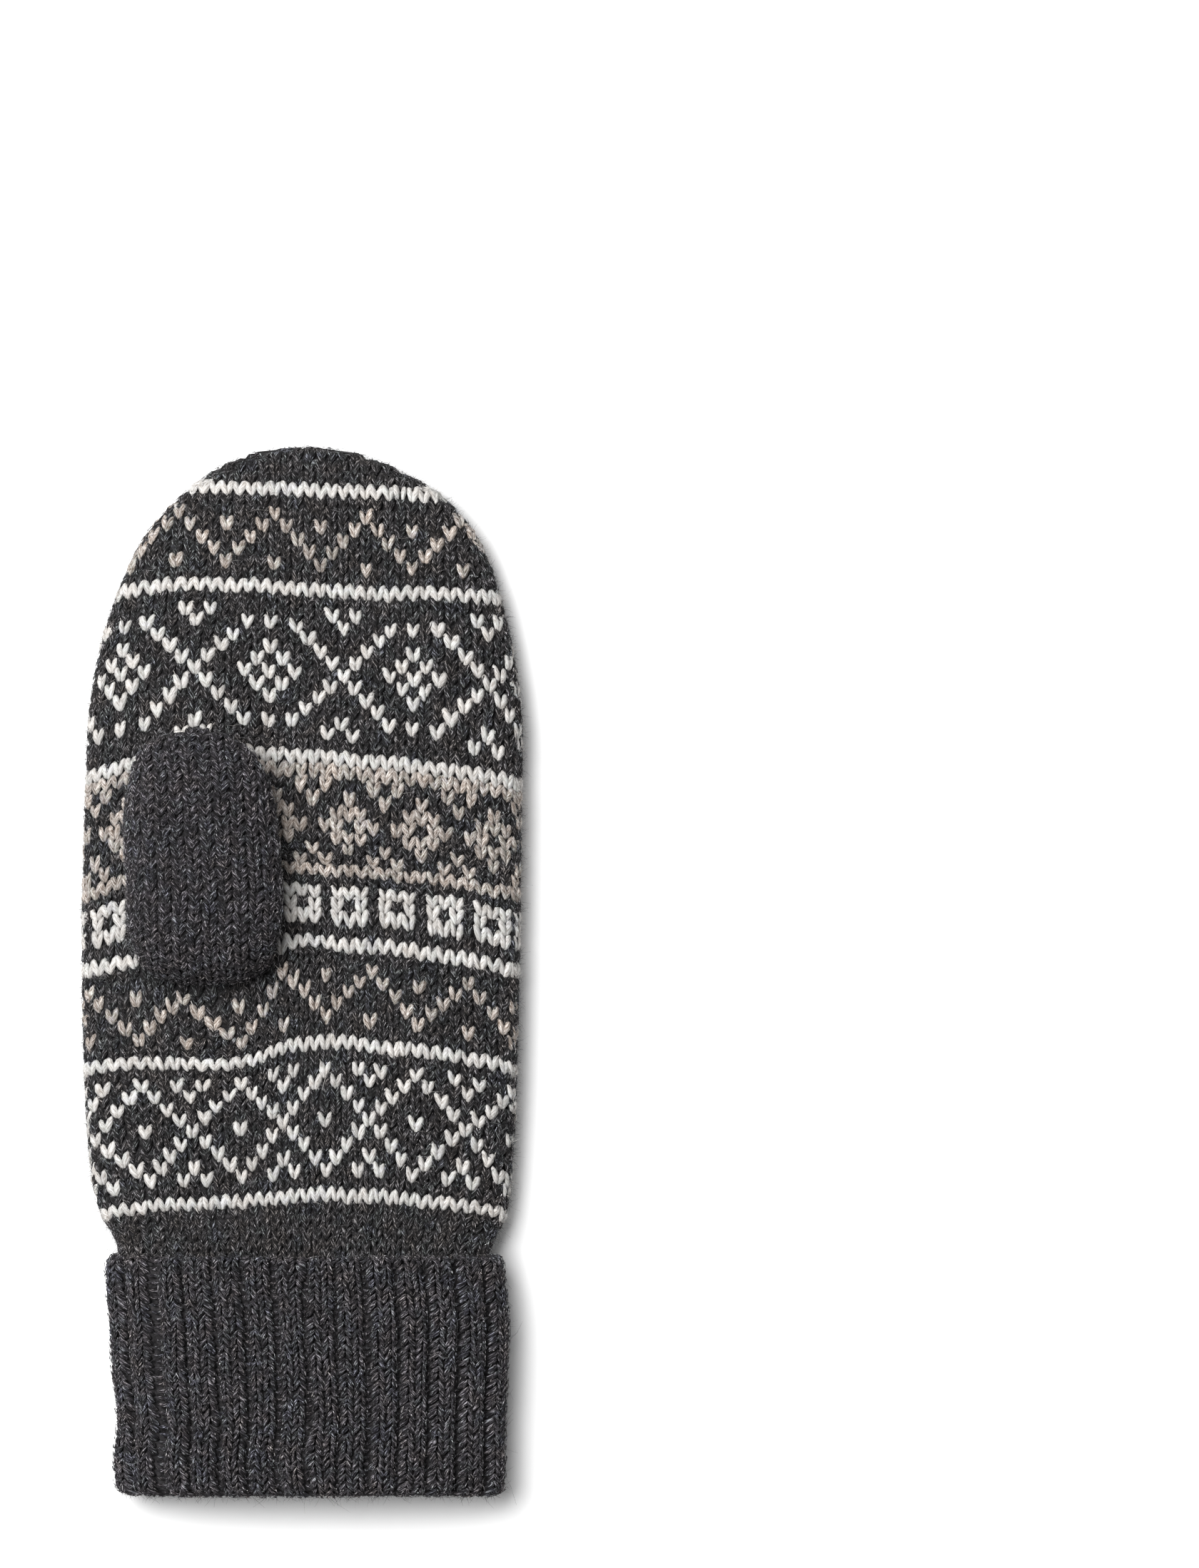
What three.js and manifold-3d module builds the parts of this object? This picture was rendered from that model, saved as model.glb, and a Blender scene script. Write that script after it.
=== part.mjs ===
// Jacquard mitten for the left hand, lying palm up with its thumb on the palm.
// Millimetres. +Z is up, +Y runs from the wrist to the fingertips, and the mitten rests on z = 0.
import * as THREE from "three";
import { mergeVertices } from "three/addons/utils/BufferGeometryUtils.js";
import Module from "manifold-3d";

// Hand
const handLength = 196.5; // from the cuff's edge to the fingertip
const palmWidth = 106;
const handThickness = 18;
const handWall = 2.4;
const tipRounding = 26; // length over which the closed end rounds down, seen from the side
const tipUnderside = 11; // the same on the side that lies on the table
const wristSpread = 11; // length over which the hand leaves the cuff's form
const rimDepth = 9; // how far the hand's rim reaches into the turned-up cuff

// Cuff
const cuffLength = 58.5;
const cuffWidth = 98.6;
const cuffThickness = 20.5;
const cuffLayer = 3.2; // outer layer, at the crown of a rib
const cuffSlot = 0.4; // between the two layers
const cuffShift = 1.6; // the cuff lies a little to the right of the hand's middle
const ribCount = 28;
const ribDepth = 1.2;
const innerRibDepth = 0.6;

// Thumb
const thumbLength = 61.5;
const thumbWidth = 38;
const thumbThickness = 15;
const thumbWall = 2.4;
const thumbFromCuff = 66.3; // from the cuff's edge to the lower edge of the thumb
const thumbOffset = 23.9; // from the hand's middle to the thumb's, towards the left
const thumbTipRounding = 17;
const thumbTipUnderside = 8;
const thumbBend = 0.5; // inner radius where the thumb turns from its opening onto the palm
const openingBelow = 4; // how far the cutter of the thumb opening reaches past the palm's wall

const clearance = 0.3; // between neighbouring pieces

// Shape of a section: a higher power is a flatter face with a tighter edge.
const palmPower = 3.2;
const backPower = 5;
const thumbPower = 2.7;

// Outline of the hand seen from above, from the cuff's edge (0) to the fingertip (1).
// left and right are shares of half the palm's width, thick a share of the hand's thickness,
// and fold is the height of the side fold as a share of the thickness there.
const HAND = [
  { at: 0.0, left: 0.848, right: 0.89, thick: 0.84, fold: 0.5 },
  { at: 0.037, left: 0.9, right: 0.909, thick: 0.87, fold: 0.46 },
  { at: 0.098, left: 0.958, right: 0.94, thick: 0.94, fold: 0.42 },
  { at: 0.23, left: 0.992, right: 0.97, thick: 0.99, fold: 0.42 },
  { at: 0.406, left: 1.002, right: 0.992, thick: 1.0, fold: 0.42 },
  { at: 0.582, left: 0.985, right: 0.994, thick: 0.97, fold: 0.42 },
  { at: 0.67, left: 0.97, right: 0.994, thick: 0.94, fold: 0.42 },
  { at: 0.762, left: 0.909, right: 0.943, thick: 0.88, fold: 0.43 },
  { at: 0.85, left: 0.792, right: 0.855, thick: 0.8, fold: 0.44 },
  { at: 0.895, left: 0.702, right: 0.774, thick: 0.75, fold: 0.45 },
  { at: 0.938, left: 0.556, right: 0.63, thick: 0.7, fold: 0.46 },
  { at: 0.983, left: 0.31, right: 0.33, thick: 0.62, fold: 0.48 },
  { at: 1.0, left: 0.0, right: 0.0, thick: 0.6, fold: 0.48 },
];

// Shallow dents of the palm: at and across place the middle (across runs from the left edge, -1, to the
// right edge, 1), long and wide are its half sizes as shares of the length and of half the width, and deep
// is a share of the hand's thickness.
const DENTS = [
  { at: 0.05, across: -0.45, long: 0.06, wide: 0.4, deep: 0.05 },
  { at: 0.03, across: 0.5, long: 0.05, wide: 0.35, deep: 0.06 },
  { at: 0.25, across: 0.35, long: 0.12, wide: 0.4, deep: 0.045 },
  { at: 0.78, across: 0.1, long: 0.08, wide: 0.5, deep: 0.05 },
  { at: 0.62, across: 0.6, long: 0.07, wide: 0.3, deep: 0.04 },
];

// Outline of the cuff, from its folded end (0) to its edge (1), as shares of half its width and of its thickness.
const CUFF = [
  { at: 0.0, left: 0.945, right: 0.965, thick: 0.97 },
  { at: 0.16, left: 0.962, right: 0.978, thick: 1.0 },
  { at: 0.31, left: 0.944, right: 0.98, thick: 1.0 },
  { at: 0.53, left: 0.97, right: 0.994, thick: 0.99 },
  { at: 0.75, left: 0.985, right: 0.998, thick: 0.98 },
  { at: 0.89, left: 1.0, right: 0.98, thick: 0.98 },
  { at: 1.0, left: 1.01, right: 0.965, thick: 0.99 },
];

// Outline of the thumb, from its lower edge (0) to its tip (1), as shares of half its width and of its thickness.
const THUMB = [
  { at: 0.0, left: 0.68, right: 0.68, thick: 0.95 },
  { at: 0.08, left: 0.76, right: 0.85, thick: 0.96 },
  { at: 0.22, left: 0.95, right: 0.98, thick: 0.99 },
  { at: 0.37, left: 0.98, right: 1.01, thick: 1.0 },
  { at: 0.65, left: 1.02, right: 0.94, thick: 1.0 },
  { at: 0.785, left: 0.94, right: 0.85, thick: 0.97 },
  { at: 0.855, left: 0.865, right: 0.76, thick: 0.95 },
  { at: 0.92, left: 0.77, right: 0.61, thick: 0.93 },
  { at: 0.95, left: 0.64, right: 0.46, thick: 0.92 },
  { at: 0.985, left: 0.37, right: 0.25, thick: 0.9 },
  { at: 1.0, left: 0.05, right: -0.05, thick: 0.9 },
];

// Mesh density
const handColumns = 48;
const thumbColumns = 28;
const columnsPerRib = 3;

const cuffEdge = cuffLength;
const fingertip = cuffEdge + handLength;
const rimY = cuffEdge - rimDepth;
const layersDepth = cuffLayer + cuffSlot; // from the cuff's outer face to the hand's outer face

// Value of one column of a table at a share of the length. The rounded end keeps its form, because the
// curve runs over the square root of what is left to the end.
function tableValue(rows, key, at, roundedEnd) {
  const place = (share) => (roundedEnd ? 1 - Math.sqrt(Math.max(0, 1 - share)) : share);
  const t = place(Math.min(1, Math.max(0, at)));
  let i = 0;
  while (i < rows.length - 2 && t > place(rows[i + 1].at)) {
    i += 1;
  }
  const a = rows[i];
  const b = rows[i + 1];
  const before = rows[Math.max(0, i - 1)];
  const after = rows[Math.min(rows.length - 1, i + 2)];
  const span = place(b.at) - place(a.at);
  const u = (t - place(a.at)) / span;
  const slopeA = ((b[key] - before[key]) / Math.max(1e-6, place(b.at) - place(before.at))) * span;
  const slopeB = ((after[key] - a[key]) / Math.max(1e-6, place(after.at) - place(a.at))) * span;
  const u2 = u * u;
  const u3 = u2 * u;
  return (
    (2 * u3 - 3 * u2 + 1) * a[key] + (u3 - 2 * u2 + u) * slopeA + (3 * u2 - 2 * u3) * b[key] + (u3 - u2) * slopeB
  );
}

// Quarter-ellipse rounding towards a closed end: 1 on the body, 0 at the end.
function rounding(toEnd, length) {
  const left = Math.min(1, Math.max(0, toEnd / length));
  return Math.sqrt(1 - (1 - left) ** 2);
}

function smooth(t) {
  const u = Math.min(1, Math.max(0, t));
  return u * u * (3 - 2 * u);
}

function signedPower(value, power) {
  return Math.sign(value) * Math.abs(value) ** power;
}

// One point of a flattened section. The angle runs from the right edge over the top to the left edge.
function sectionPoint(form, angle) {
  const c = Math.cos(angle);
  const s = Math.sin(angle);
  const top = s >= 0;
  const across = signedPower(c, 2 / (top ? form.topPower : form.basePower));
  const half = (form.right - form.left) / 2;
  const x = (form.right + form.left) / 2 + half * across;
  const z = form.middle + (top ? form.up * s : form.down * s);
  return { x, z: Math.max(z, form.floor), across, top };
}

// Form of the cuff's section at a height y, at a depth inwards from its outer face.
function cuffForm(y, depth) {
  const at = y / cuffLength;
  const thick = tableValue(CUFF, "thick", at) * cuffThickness;
  const middle = 0.47 * cuffThickness;
  return {
    left: cuffShift - (tableValue(CUFF, "left", at) * cuffWidth) / 2 + depth,
    right: cuffShift + (tableValue(CUFF, "right", at) * cuffWidth) / 2 - depth,
    middle,
    up: thick - middle - depth,
    down: middle - depth + 0.4,
    floor: depth,
    topPower: palmPower,
    basePower: backPower,
  };
}

// Form of the hand's section at a height y, at a depth inwards from its outer face. Below the cuff's edge
// it follows the cuff, and above it spreads to the hand's own outline.
function handForm(y, depth, endY) {
  const length = endY - cuffEdge;
  const at = Math.max(0, (y - cuffEdge) / length);
  const full = tableValue(HAND, "thick", at, true) * handThickness;
  const fold = tableValue(HAND, "fold", at, true) * full;
  const topEnd = rounding(endY - y, tipRounding);
  const baseEnd = rounding(endY - y, tipUnderside);
  const own = {
    left: -(tableValue(HAND, "left", at, true) * palmWidth) / 2 + depth * topEnd,
    right: (tableValue(HAND, "right", at, true) * palmWidth) / 2 - depth * topEnd,
    middle: fold,
    up: (full - fold - depth) * topEnd,
    down: (fold - depth + 0.6) * baseEnd,
    floor: depth * baseEnd,
  };
  const inCuff = cuffForm(Math.min(y, cuffEdge), layersDepth + depth);
  const share = smooth((y - cuffEdge) / wristSpread);
  const form = { topPower: palmPower, basePower: backPower };
  for (const key of ["left", "right", "middle", "up", "down", "floor"]) {
    form[key] = inCuff[key] + (own[key] - inCuff[key]) * share;
  }
  return form;
}

// Depth of the palm's dents at a place.
function dentDepth(y, across) {
  const at = (y - cuffEdge) / handLength;
  let depth = 0;
  for (const dent of DENTS) {
    const along = (at - dent.at) / dent.long;
    const beside = (across - dent.across) / dent.wide;
    depth += dent.deep * handThickness * Math.exp(-along * along - beside * beside);
  }
  return depth * smooth((y - cuffEdge) / wristSpread);
}

function handPoint(y, depth, endY, angle) {
  const p = sectionPoint(handForm(y, depth, endY), angle);
  const z = p.top ? p.z - dentDepth(y, p.across) * Math.sin(angle) : p.z;
  return new THREE.Vector3(p.x, y, z);
}

// Height of the palm at a place seen from above.
function palmHeight(x, y) {
  const form = handForm(y, 0, fingertip);
  const half = (form.right - form.left) / 2;
  const across = Math.min(1, Math.max(-1, (x - (form.right + form.left) / 2) / half));
  const rise = Math.sqrt(Math.max(0, 1 - Math.abs(across) ** palmPower));
  return form.middle + form.up * rise - dentDepth(y, across) * rise;
}

// A closed body from rings of equal length. With end points it closes at both ends, and otherwise the
// last ring joins the first.
function bodyFromRings(rings, firstPoint, lastPoint) {
  const columns = rings[0].length;
  const positions = [];
  const index = [];
  for (const ring of rings) {
    for (const p of ring) {
      positions.push(p.x, p.y, p.z);
    }
  }
  const closesOnItself = !firstPoint;
  const bands = closesOnItself ? rings.length : rings.length - 1;
  for (let r = 0; r < bands; r += 1) {
    const low = r * columns;
    const high = ((r + 1) % rings.length) * columns;
    for (let c = 0; c < columns; c += 1) {
      const next = (c + 1) % columns;
      index.push(low + c, low + next, high + next);
      index.push(low + c, high + next, high + c);
    }
  }
  if (!closesOnItself) {
    const first = positions.length / 3;
    positions.push(firstPoint.x, firstPoint.y, firstPoint.z);
    const last = positions.length / 3;
    positions.push(lastPoint.x, lastPoint.y, lastPoint.z);
    const top = (rings.length - 1) * columns;
    for (let c = 0; c < columns; c += 1) {
      const next = (c + 1) % columns;
      index.push(first, next, c);
      index.push(last, top + c, top + next);
    }
  }
  const geometry = new THREE.BufferGeometry();
  geometry.setAttribute("position", new THREE.Float32BufferAttribute(positions, 3));
  geometry.setIndex(index);
  return geometry;
}

function angles(count) {
  return Array.from({ length: count }, (_, i) => (i / count) * 2 * Math.PI);
}

// Places along a tube that closes at its end: even steps on the body, then steps that shorten round the end.
function stations(start, end, roundedLength, step, endSteps) {
  const bodyEnd = end - roundedLength;
  const bodySteps = Math.max(2, Math.round((bodyEnd - start) / step));
  const places = [];
  for (let i = 0; i < bodySteps; i += 1) {
    places.push(start + ((bodyEnd - start) * i) / bodySteps);
  }
  for (let i = 0; i < endSteps; i += 1) {
    places.push(bodyEnd + roundedLength * Math.sin((i / endSteps) * (Math.PI / 2)));
  }
  return places;
}

// Hand: the outer face from the rim to the fingertip, then the inner face back to the rim.
function handShell() {
  const around = angles(handColumns);
  const innerEnd = fingertip - handWall;
  const outer = stations(rimY, fingertip, 0.15 * handLength, 8, 8);
  const inner = stations(rimY, innerEnd, 0.15 * handLength, 10.5, 7);
  const outerRings = outer.map((y) => around.map((a) => handPoint(y, 0, fingertip, a)));
  const innerRings = inner.map((y) => around.map((a) => handPoint(y, handWall, innerEnd, a)));
  const tip = handPoint(fingertip, 0, fingertip, Math.PI / 2);
  const innerTip = handPoint(innerEnd, handWall, innerEnd, Math.PI / 2);
  return bodyFromRings([...outerRings.reverse(), ...innerRings], tip, innerTip);
}

// Thumb: a point of its tube in the palm's frame, where z = 0 is the palm. The tube rises from the
// opening, turns onto the palm and lies along it.
const thumbY = cuffEdge + thumbFromCuff;
const bendRadius = thumbBend + thumbThickness / 2;
const bendY = thumbY + bendRadius + (tableValue(THUMB, "thick", 0) * thumbThickness) / 2;
const bendLength = (bendRadius * Math.PI) / 2;
const lyingLength = thumbY + thumbLength - bendY;

function thumbPoint(along, depth, endLength, angle) {
  const lying = along - bendLength;
  const toEnd = endLength - lying;
  const topEnd = rounding(toEnd, thumbTipRounding);
  const baseEnd = rounding(toEnd, thumbTipUnderside);
  const turn = Math.min(1, Math.max(0, along / bendLength)) * (Math.PI / 2);
  const front = lying > 0 ? bendY + lying : bendY - bendRadius * Math.cos(turn);
  const at = (front - thumbY) / (bendY + endLength - thumbY);
  const thick = tableValue(THUMB, "thick", at, true) * thumbThickness;
  const left = (-tableValue(THUMB, "left", at, true) * thumbWidth) / 2 + depth * topEnd;
  const right = (tableValue(THUMB, "right", at, true) * thumbWidth) / 2 - depth * topEnd;
  const c = Math.cos(angle);
  const s = Math.sin(angle);
  const x = (left + right) / 2 + ((right - left) / 2) * signedPower(c, 2 / thumbPower) - thumbOffset;
  const rise = s >= 0 ? (thick / 2 - depth) * topEnd : (thick / 2 - depth) * baseEnd;
  const radius = bendRadius - (thumbThickness - thick) / 2 + rise * s;
  if (lying > 0) {
    return new THREE.Vector3(x, bendY + lying, clearance + radius);
  }
  return new THREE.Vector3(x, bendY - radius * Math.cos(turn), clearance + radius * Math.sin(turn));
}

// Lays a point of the palm's frame on the palm.
function onPalm(p) {
  return new THREE.Vector3(p.x, p.y, p.z + palmHeight(p.x, p.y));
}

function thumbTube() {
  const around = angles(thumbColumns);
  const outerEnd = bendLength + lyingLength;
  const innerEnd = outerEnd - thumbWall;
  const places = (end, step, endSteps) => {
    const bend = [0, 0.17, 0.34, 0.5, 0.67, 0.84].map((t) => t * bendLength);
    const lying = stations(bendLength + 1e-4, end, thumbTipRounding, step, endSteps);
    return [...bend, ...lying];
  };
  const ringAt = (t, depth, endLength) => around.map((a) => onPalm(thumbPoint(t, depth, endLength, a)));
  const outer = places(outerEnd, 7, 6).map((t) => ringAt(t, 0, lyingLength));
  const inner = places(innerEnd, 9, 5).map((t) => ringAt(t, thumbWall, lyingLength - thumbWall));
  const tip = onPalm(thumbPoint(outerEnd, 0, lyingLength, Math.PI / 2));
  const innerTip = onPalm(thumbPoint(innerEnd, thumbWall, lyingLength - thumbWall, Math.PI / 2));
  return bodyFromRings([...outer.reverse(), ...inner], tip, innerTip);
}

// What is cut out of the palm under the thumb: the thumb's hollow, carried down through the palm's wall.
function thumbOpening() {
  const around = angles(thumbColumns);
  const mouth = around.map((a) => thumbPoint(0, thumbWall, lyingLength - thumbWall, a));
  const drop = handWall + openingBelow;
  const low = mouth.map((p) => onPalm(new THREE.Vector3(p.x, p.y, -drop)));
  const high = mouth.map((p) => onPalm(new THREE.Vector3(p.x, p.y, clearance + 1)));
  const middle = (ring) => ring.reduce((sum, p) => sum.add(p), new THREE.Vector3()).divideScalar(ring.length);
  return bodyFromRings([high, low], middle(high), middle(low));
}

// Angles that place the cuff's columns at equal lengths round its outer face.
function evenAngles(form, count) {
  const fine = 1440;
  const lengths = [0];
  let last = sectionPoint(form, 0);
  for (let i = 1; i <= fine; i += 1) {
    const p = sectionPoint(form, (i / fine) * 2 * Math.PI);
    lengths.push(lengths[i - 1] + Math.hypot(p.x - last.x, p.z - last.z));
    last = p;
  }
  const found = [];
  let i = 0;
  for (let n = 0; n < count; n += 1) {
    const wanted = (lengths[fine] * n) / count;
    while (lengths[i + 1] < wanted) {
      i += 1;
    }
    const part = (wanted - lengths[i]) / (lengths[i + 1] - lengths[i]);
    found.push(((i + part) / fine) * 2 * Math.PI);
  }
  return found;
}

// Cuff: two layers of ribbing that turn back at the folded end. The outer layer runs up to the edge, and
// the inner one meets the hand's rim.
function cuffBand() {
  const around = evenAngles(cuffForm(cuffLength / 2, 0), ribCount * columnsPerRib);
  const total = layersDepth + handWall;
  const foldRadius = total / 2;
  const innerTop = rimY - clearance;
  const slotEnd = foldRadius + 2.5;
  const edge = cuffLayer / 2;
  const rows = [];
  for (const at of [0.98, 0.86, 0.72, 0.58, 0.44, 0.3, 0.16]) {
    rows.push({ y: at * cuffLength, depth: 0, rib: ribDepth });
  }
  for (const turn of [0, 30, 60, 90, 120, 150]) {
    const a = (turn / 180) * Math.PI;
    const y = foldRadius * (1 - Math.sin(a));
    rows.push({ y, depth: foldRadius * (1 - Math.cos(a)), rib: ribDepth * (1 - turn / 240) });
  }
  rows.push({ y: foldRadius, depth: total, rib: -innerRibDepth });
  rows.push({ y: 0.35 * innerTop, depth: total, rib: -innerRibDepth });
  rows.push({ y: 0.7 * innerTop, depth: total, rib: -innerRibDepth });
  rows.push({ y: innerTop, depth: total, rib: 0 });
  rows.push({ y: innerTop, depth: layersDepth, rib: 0 });
  rows.push({ y: slotEnd, depth: layersDepth, rib: 0 });
  rows.push({ y: slotEnd, depth: cuffLayer, rib: 0 });
  rows.push({ y: innerTop, depth: cuffLayer, rib: 0 });
  rows.push({ y: cuffLength - 0.8, depth: cuffLayer, rib: 0 });
  rows.push({ y: cuffLength, depth: edge, rib: ribDepth * 0.3 });
  const rings = rows.map((row) =>
    around.map((angle, i) => {
      const valley = i % columnsPerRib === 0 ? 1 : 0;
      const p = sectionPoint(cuffForm(row.y, row.depth + row.rib * valley), angle);
      return new THREE.Vector3(p.x, row.y, p.z);
    }),
  );
  return bodyFromRings(rings);
}

// Booleans
const wasm = await Module();
wasm.setup();

function toSolid(geometry) {
  const merged = mergeVertices(geometry, 1e-4);
  return new wasm.Manifold(
    new wasm.Mesh({
      numProp: 3,
      vertProperties: new Float32Array(merged.attributes.position.array),
      triVerts: new Uint32Array(merged.index.array),
    }),
  );
}

function toGeometry(solid) {
  const mesh = solid.getMesh();
  const geometry = new THREE.BufferGeometry();
  geometry.setAttribute("position", new THREE.Float32BufferAttribute(mesh.vertProperties, 3));
  geometry.setIndex(new THREE.Uint32BufferAttribute(mesh.triVerts, 1));
  geometry.computeVertexNormals();
  return geometry;
}

const charcoalWool = new THREE.MeshStandardMaterial({ color: 0x444146, roughness: 0.95, metalness: 0 });
const patternedWool = new THREE.MeshStandardMaterial({ color: 0x6f6a66, roughness: 0.95, metalness: 0 });

const mitten = new THREE.Group();

function addPiece(name, geometry, material) {
  const mesh = new THREE.Mesh(geometry, material);
  mesh.name = name;
  mitten.add(mesh);
}

addPiece("hand", toGeometry(toSolid(handShell()).subtract(toSolid(thumbOpening()))), patternedWool);
addPiece("thumb", toGeometry(toSolid(thumbTube())), charcoalWool);
addPiece("cuff", toGeometry(toSolid(cuffBand())), charcoalWool);

// The origin lies on the table under the middle of the mitten.
const extent = new THREE.Box3().setFromObject(mitten);
mitten.position.set(-(extent.min.x + extent.max.x) / 2, -(extent.min.y + extent.max.y) / 2, 0);

export default mitten;
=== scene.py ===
"""Jacquard mitten for the left hand, lying palm up with its thumb on the palm.

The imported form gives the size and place. Every stitch of the knitting is a pair of plump yarn legs that
rides on it, coloured by a chart, and fine wool hairs stand off the yarn.
"""

from __future__ import annotations

import logging
import math
from dataclasses import dataclass, field
from enum import Enum, IntEnum

import bmesh
import bpy
import numpy as np
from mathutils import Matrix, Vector


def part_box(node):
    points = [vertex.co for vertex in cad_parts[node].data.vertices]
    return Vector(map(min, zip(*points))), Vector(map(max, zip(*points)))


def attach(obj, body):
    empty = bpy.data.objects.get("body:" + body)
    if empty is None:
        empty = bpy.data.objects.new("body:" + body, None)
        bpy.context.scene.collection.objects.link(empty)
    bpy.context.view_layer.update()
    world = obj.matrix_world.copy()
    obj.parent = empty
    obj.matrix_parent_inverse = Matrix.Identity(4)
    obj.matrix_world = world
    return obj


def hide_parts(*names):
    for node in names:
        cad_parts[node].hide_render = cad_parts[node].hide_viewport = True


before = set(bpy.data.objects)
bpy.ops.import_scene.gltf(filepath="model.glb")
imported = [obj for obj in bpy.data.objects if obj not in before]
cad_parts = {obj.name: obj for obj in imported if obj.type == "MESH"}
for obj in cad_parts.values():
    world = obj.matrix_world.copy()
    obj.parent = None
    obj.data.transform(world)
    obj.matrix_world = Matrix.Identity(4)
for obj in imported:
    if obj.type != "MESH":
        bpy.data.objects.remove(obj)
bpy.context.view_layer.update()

logging.basicConfig(level=logging.INFO, format="%(message)s")
LOG = logging.getLogger("mitten")

MM = 0.001
PHOTO_WIDTH = 1680
PHOTO_HEIGHT = 2197
PHOTO_MM_PER_PIXEL = 0.1729
RESTING = 0.65  # lowest height of the knitted surface, in millimetres
SOLE = 0.3  # yarn below this height is pressed flat towards the table, in millimetres
QUARTER = 180  # steps from a face's middle to its fold
STEPS = 10  # points of a knitted surface for each wale and each course
SHORT_OF_END = 0.05  # millimetres that are left off at a closed tip, where the section has no width
WELD = 2e-6  # metres within which points of a solid count as one
TINY = 1e-9

Array = np.ndarray
Colour = tuple[float, float, float]


class Yarn(Enum):
    """The yarns of the mitten."""

    CHARCOAL = "charcoal"
    WHITE = "white"
    BEIGE = "beige"


class Seed(IntEnum):
    """Where the unevenness of each thing starts."""

    RIBS = 7
    PALM = 11
    BACK = 12
    THUMB = 21
    THUMB_HAIRS = 23
    PALM_HAIRS = 31
    BACK_HAIRS = 41
    CUFF = 51
    CUFF_HAIRS = 53
    CUFF_EDGE = 59


# ---------------------------------------------------------------- forms


def hermite(u: Array, start: Array, start_slope: Array, end: Array, end_slope: Array) -> Array:
    """A smooth curve from one value to the next, at shares u of the way."""
    return (
        (2 * u**3 - 3 * u**2 + 1) * start
        + (u**3 - 2 * u**2 + u) * start_slope
        + (3 * u**2 - 2 * u**3) * end
        + (u**3 - u**2) * end_slope
    )


def through_rows(spots: Array, values: Array, i: Array, at: Array) -> Array:
    """Reads a smooth curve through a table's rows.

    Args:
        spots: where each row lies.
        values: each row's value or values.
        i: the row before each place.
        at: the places to read.

    Returns:
        The value or values at each place.
    """
    before, after = np.maximum(i - 1, 0), np.minimum(i + 2, len(spots) - 1)
    span = spots[i + 1] - spots[i]
    slope_a = (values[i + 1] - values[before]) / (spots[i + 1] - spots[before]) * span
    slope_b = (values[after] - values[i]) / (spots[after] - spots[i]) * span
    return hermite((at - spots[i]) / span, values[i], slope_a, values[i + 1], slope_b)


@dataclass(frozen=True)
class Table:
    """A short table of shares along a length, read as a smooth curve."""

    columns: tuple[str, ...]
    rows: tuple[tuple[float, ...], ...]
    rounded_end: bool = False

    def place(self, at: Array) -> Array:
        """Where a share lies on the curve's own axis, which crowds towards a rounded end."""
        share = np.clip(np.asarray(at, float), 0.0, 1.0)
        return 1.0 - np.sqrt(1.0 - share) if self.rounded_end else share

    def value(self, name: str, at: Array) -> Array:
        """Reads one column.

        Args:
            name: the column's name.
            at: shares of the length, from 0 to 1.

        Returns:
            The column's value at each share.
        """
        spots = self.place(np.array([row[0] for row in self.rows]))
        values = np.array([row[self.columns.index(name)] for row in self.rows])
        t = self.place(at)
        i = np.clip(np.searchsorted(spots, t, side="left") - 1, 0, len(spots) - 2)
        return through_rows(spots, values, i, t)


def smooth(t: Array) -> Array:
    """A soft step from 0 to 1."""
    u = np.clip(t, 0.0, 1.0)
    return u * u * (3 - 2 * u)


def rounding(to_end: Array, length: float) -> Array:
    """A quarter-ellipse: 1 on the body of a tube and 0 at its closed end."""
    left = np.clip(to_end / length, 0.0, 1.0)
    return np.sqrt(1.0 - (1.0 - left) ** 2)


def signed_power(value: Array, power: float | Array) -> Array:
    """A power that keeps the sign."""
    return np.sign(value) * np.abs(value) ** power


def section_point(section: dict[str, Array], angle: Array, powers: tuple[float, float]) -> tuple[Array, ...]:
    """A point of a flattened section.

    Args:
        section: its edges, its middle, its height above and below that, and its floor.
        angle: the angle round it from the right edge, with the top at a quarter turn.
        powers: how square the top and the underside are.

    Returns:
        The place across from -1 to 1, x, z, and whether the point is on the top.
    """
    top = np.sin(angle) >= 0
    across = signed_power(np.cos(angle), np.where(top, 2 / powers[0], 2 / powers[1]))
    left, right = section["left"], section["right"]
    x = (right + left) / 2 + (right - left) / 2 * across
    z = section["middle"] + np.where(top, section["up"], section["down"]) * np.sin(angle)
    return across, x, np.maximum(z, section["floor"]), top


@dataclass(frozen=True)
class CuffForm:
    """The turned-up cuff's sections."""

    length: float = 58.5
    width: float = 98.6
    thickness: float = 20.5
    shift: float = 1.6
    outer_layer: float = 3.2
    slot: float = 0.4
    inner_layer: float = 2.4
    middle_share: float = 0.47
    below: float = 0.4
    outline: Table = Table(
        ("at", "left", "right", "thick"),
        (
            (0.0, 0.945, 0.965, 0.97),
            (0.16, 0.962, 0.967, 1.0),
            (0.31, 0.944, 0.968, 1.0),
            (0.53, 0.97, 0.98, 0.99),
            (0.75, 0.985, 0.984, 0.98),
            (0.89, 1.0, 0.968, 0.98),
            (1.0, 1.0, 0.955, 0.99),
        ),
    )

    @property
    def layers(self) -> float:
        """From the cuff's outer face to the hand's outer face."""
        return self.outer_layer + self.slot

    def section(self, y: Array, depth: Array) -> dict[str, Array]:
        """The section at heights y, at depths inwards from the outer face."""
        at = y / self.length
        thick = self.outline.value("thick", at) * self.thickness
        middle = self.middle_share * self.thickness + 0.0 * thick
        return {
            "left": self.shift - self.outline.value("left", at) * self.width / 2 + depth,
            "right": self.shift + self.outline.value("right", at) * self.width / 2 - depth,
            "middle": middle,
            "up": thick - middle - depth,
            "down": middle - depth + self.below,
            "floor": depth + 0.0 * thick,
        }


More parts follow.
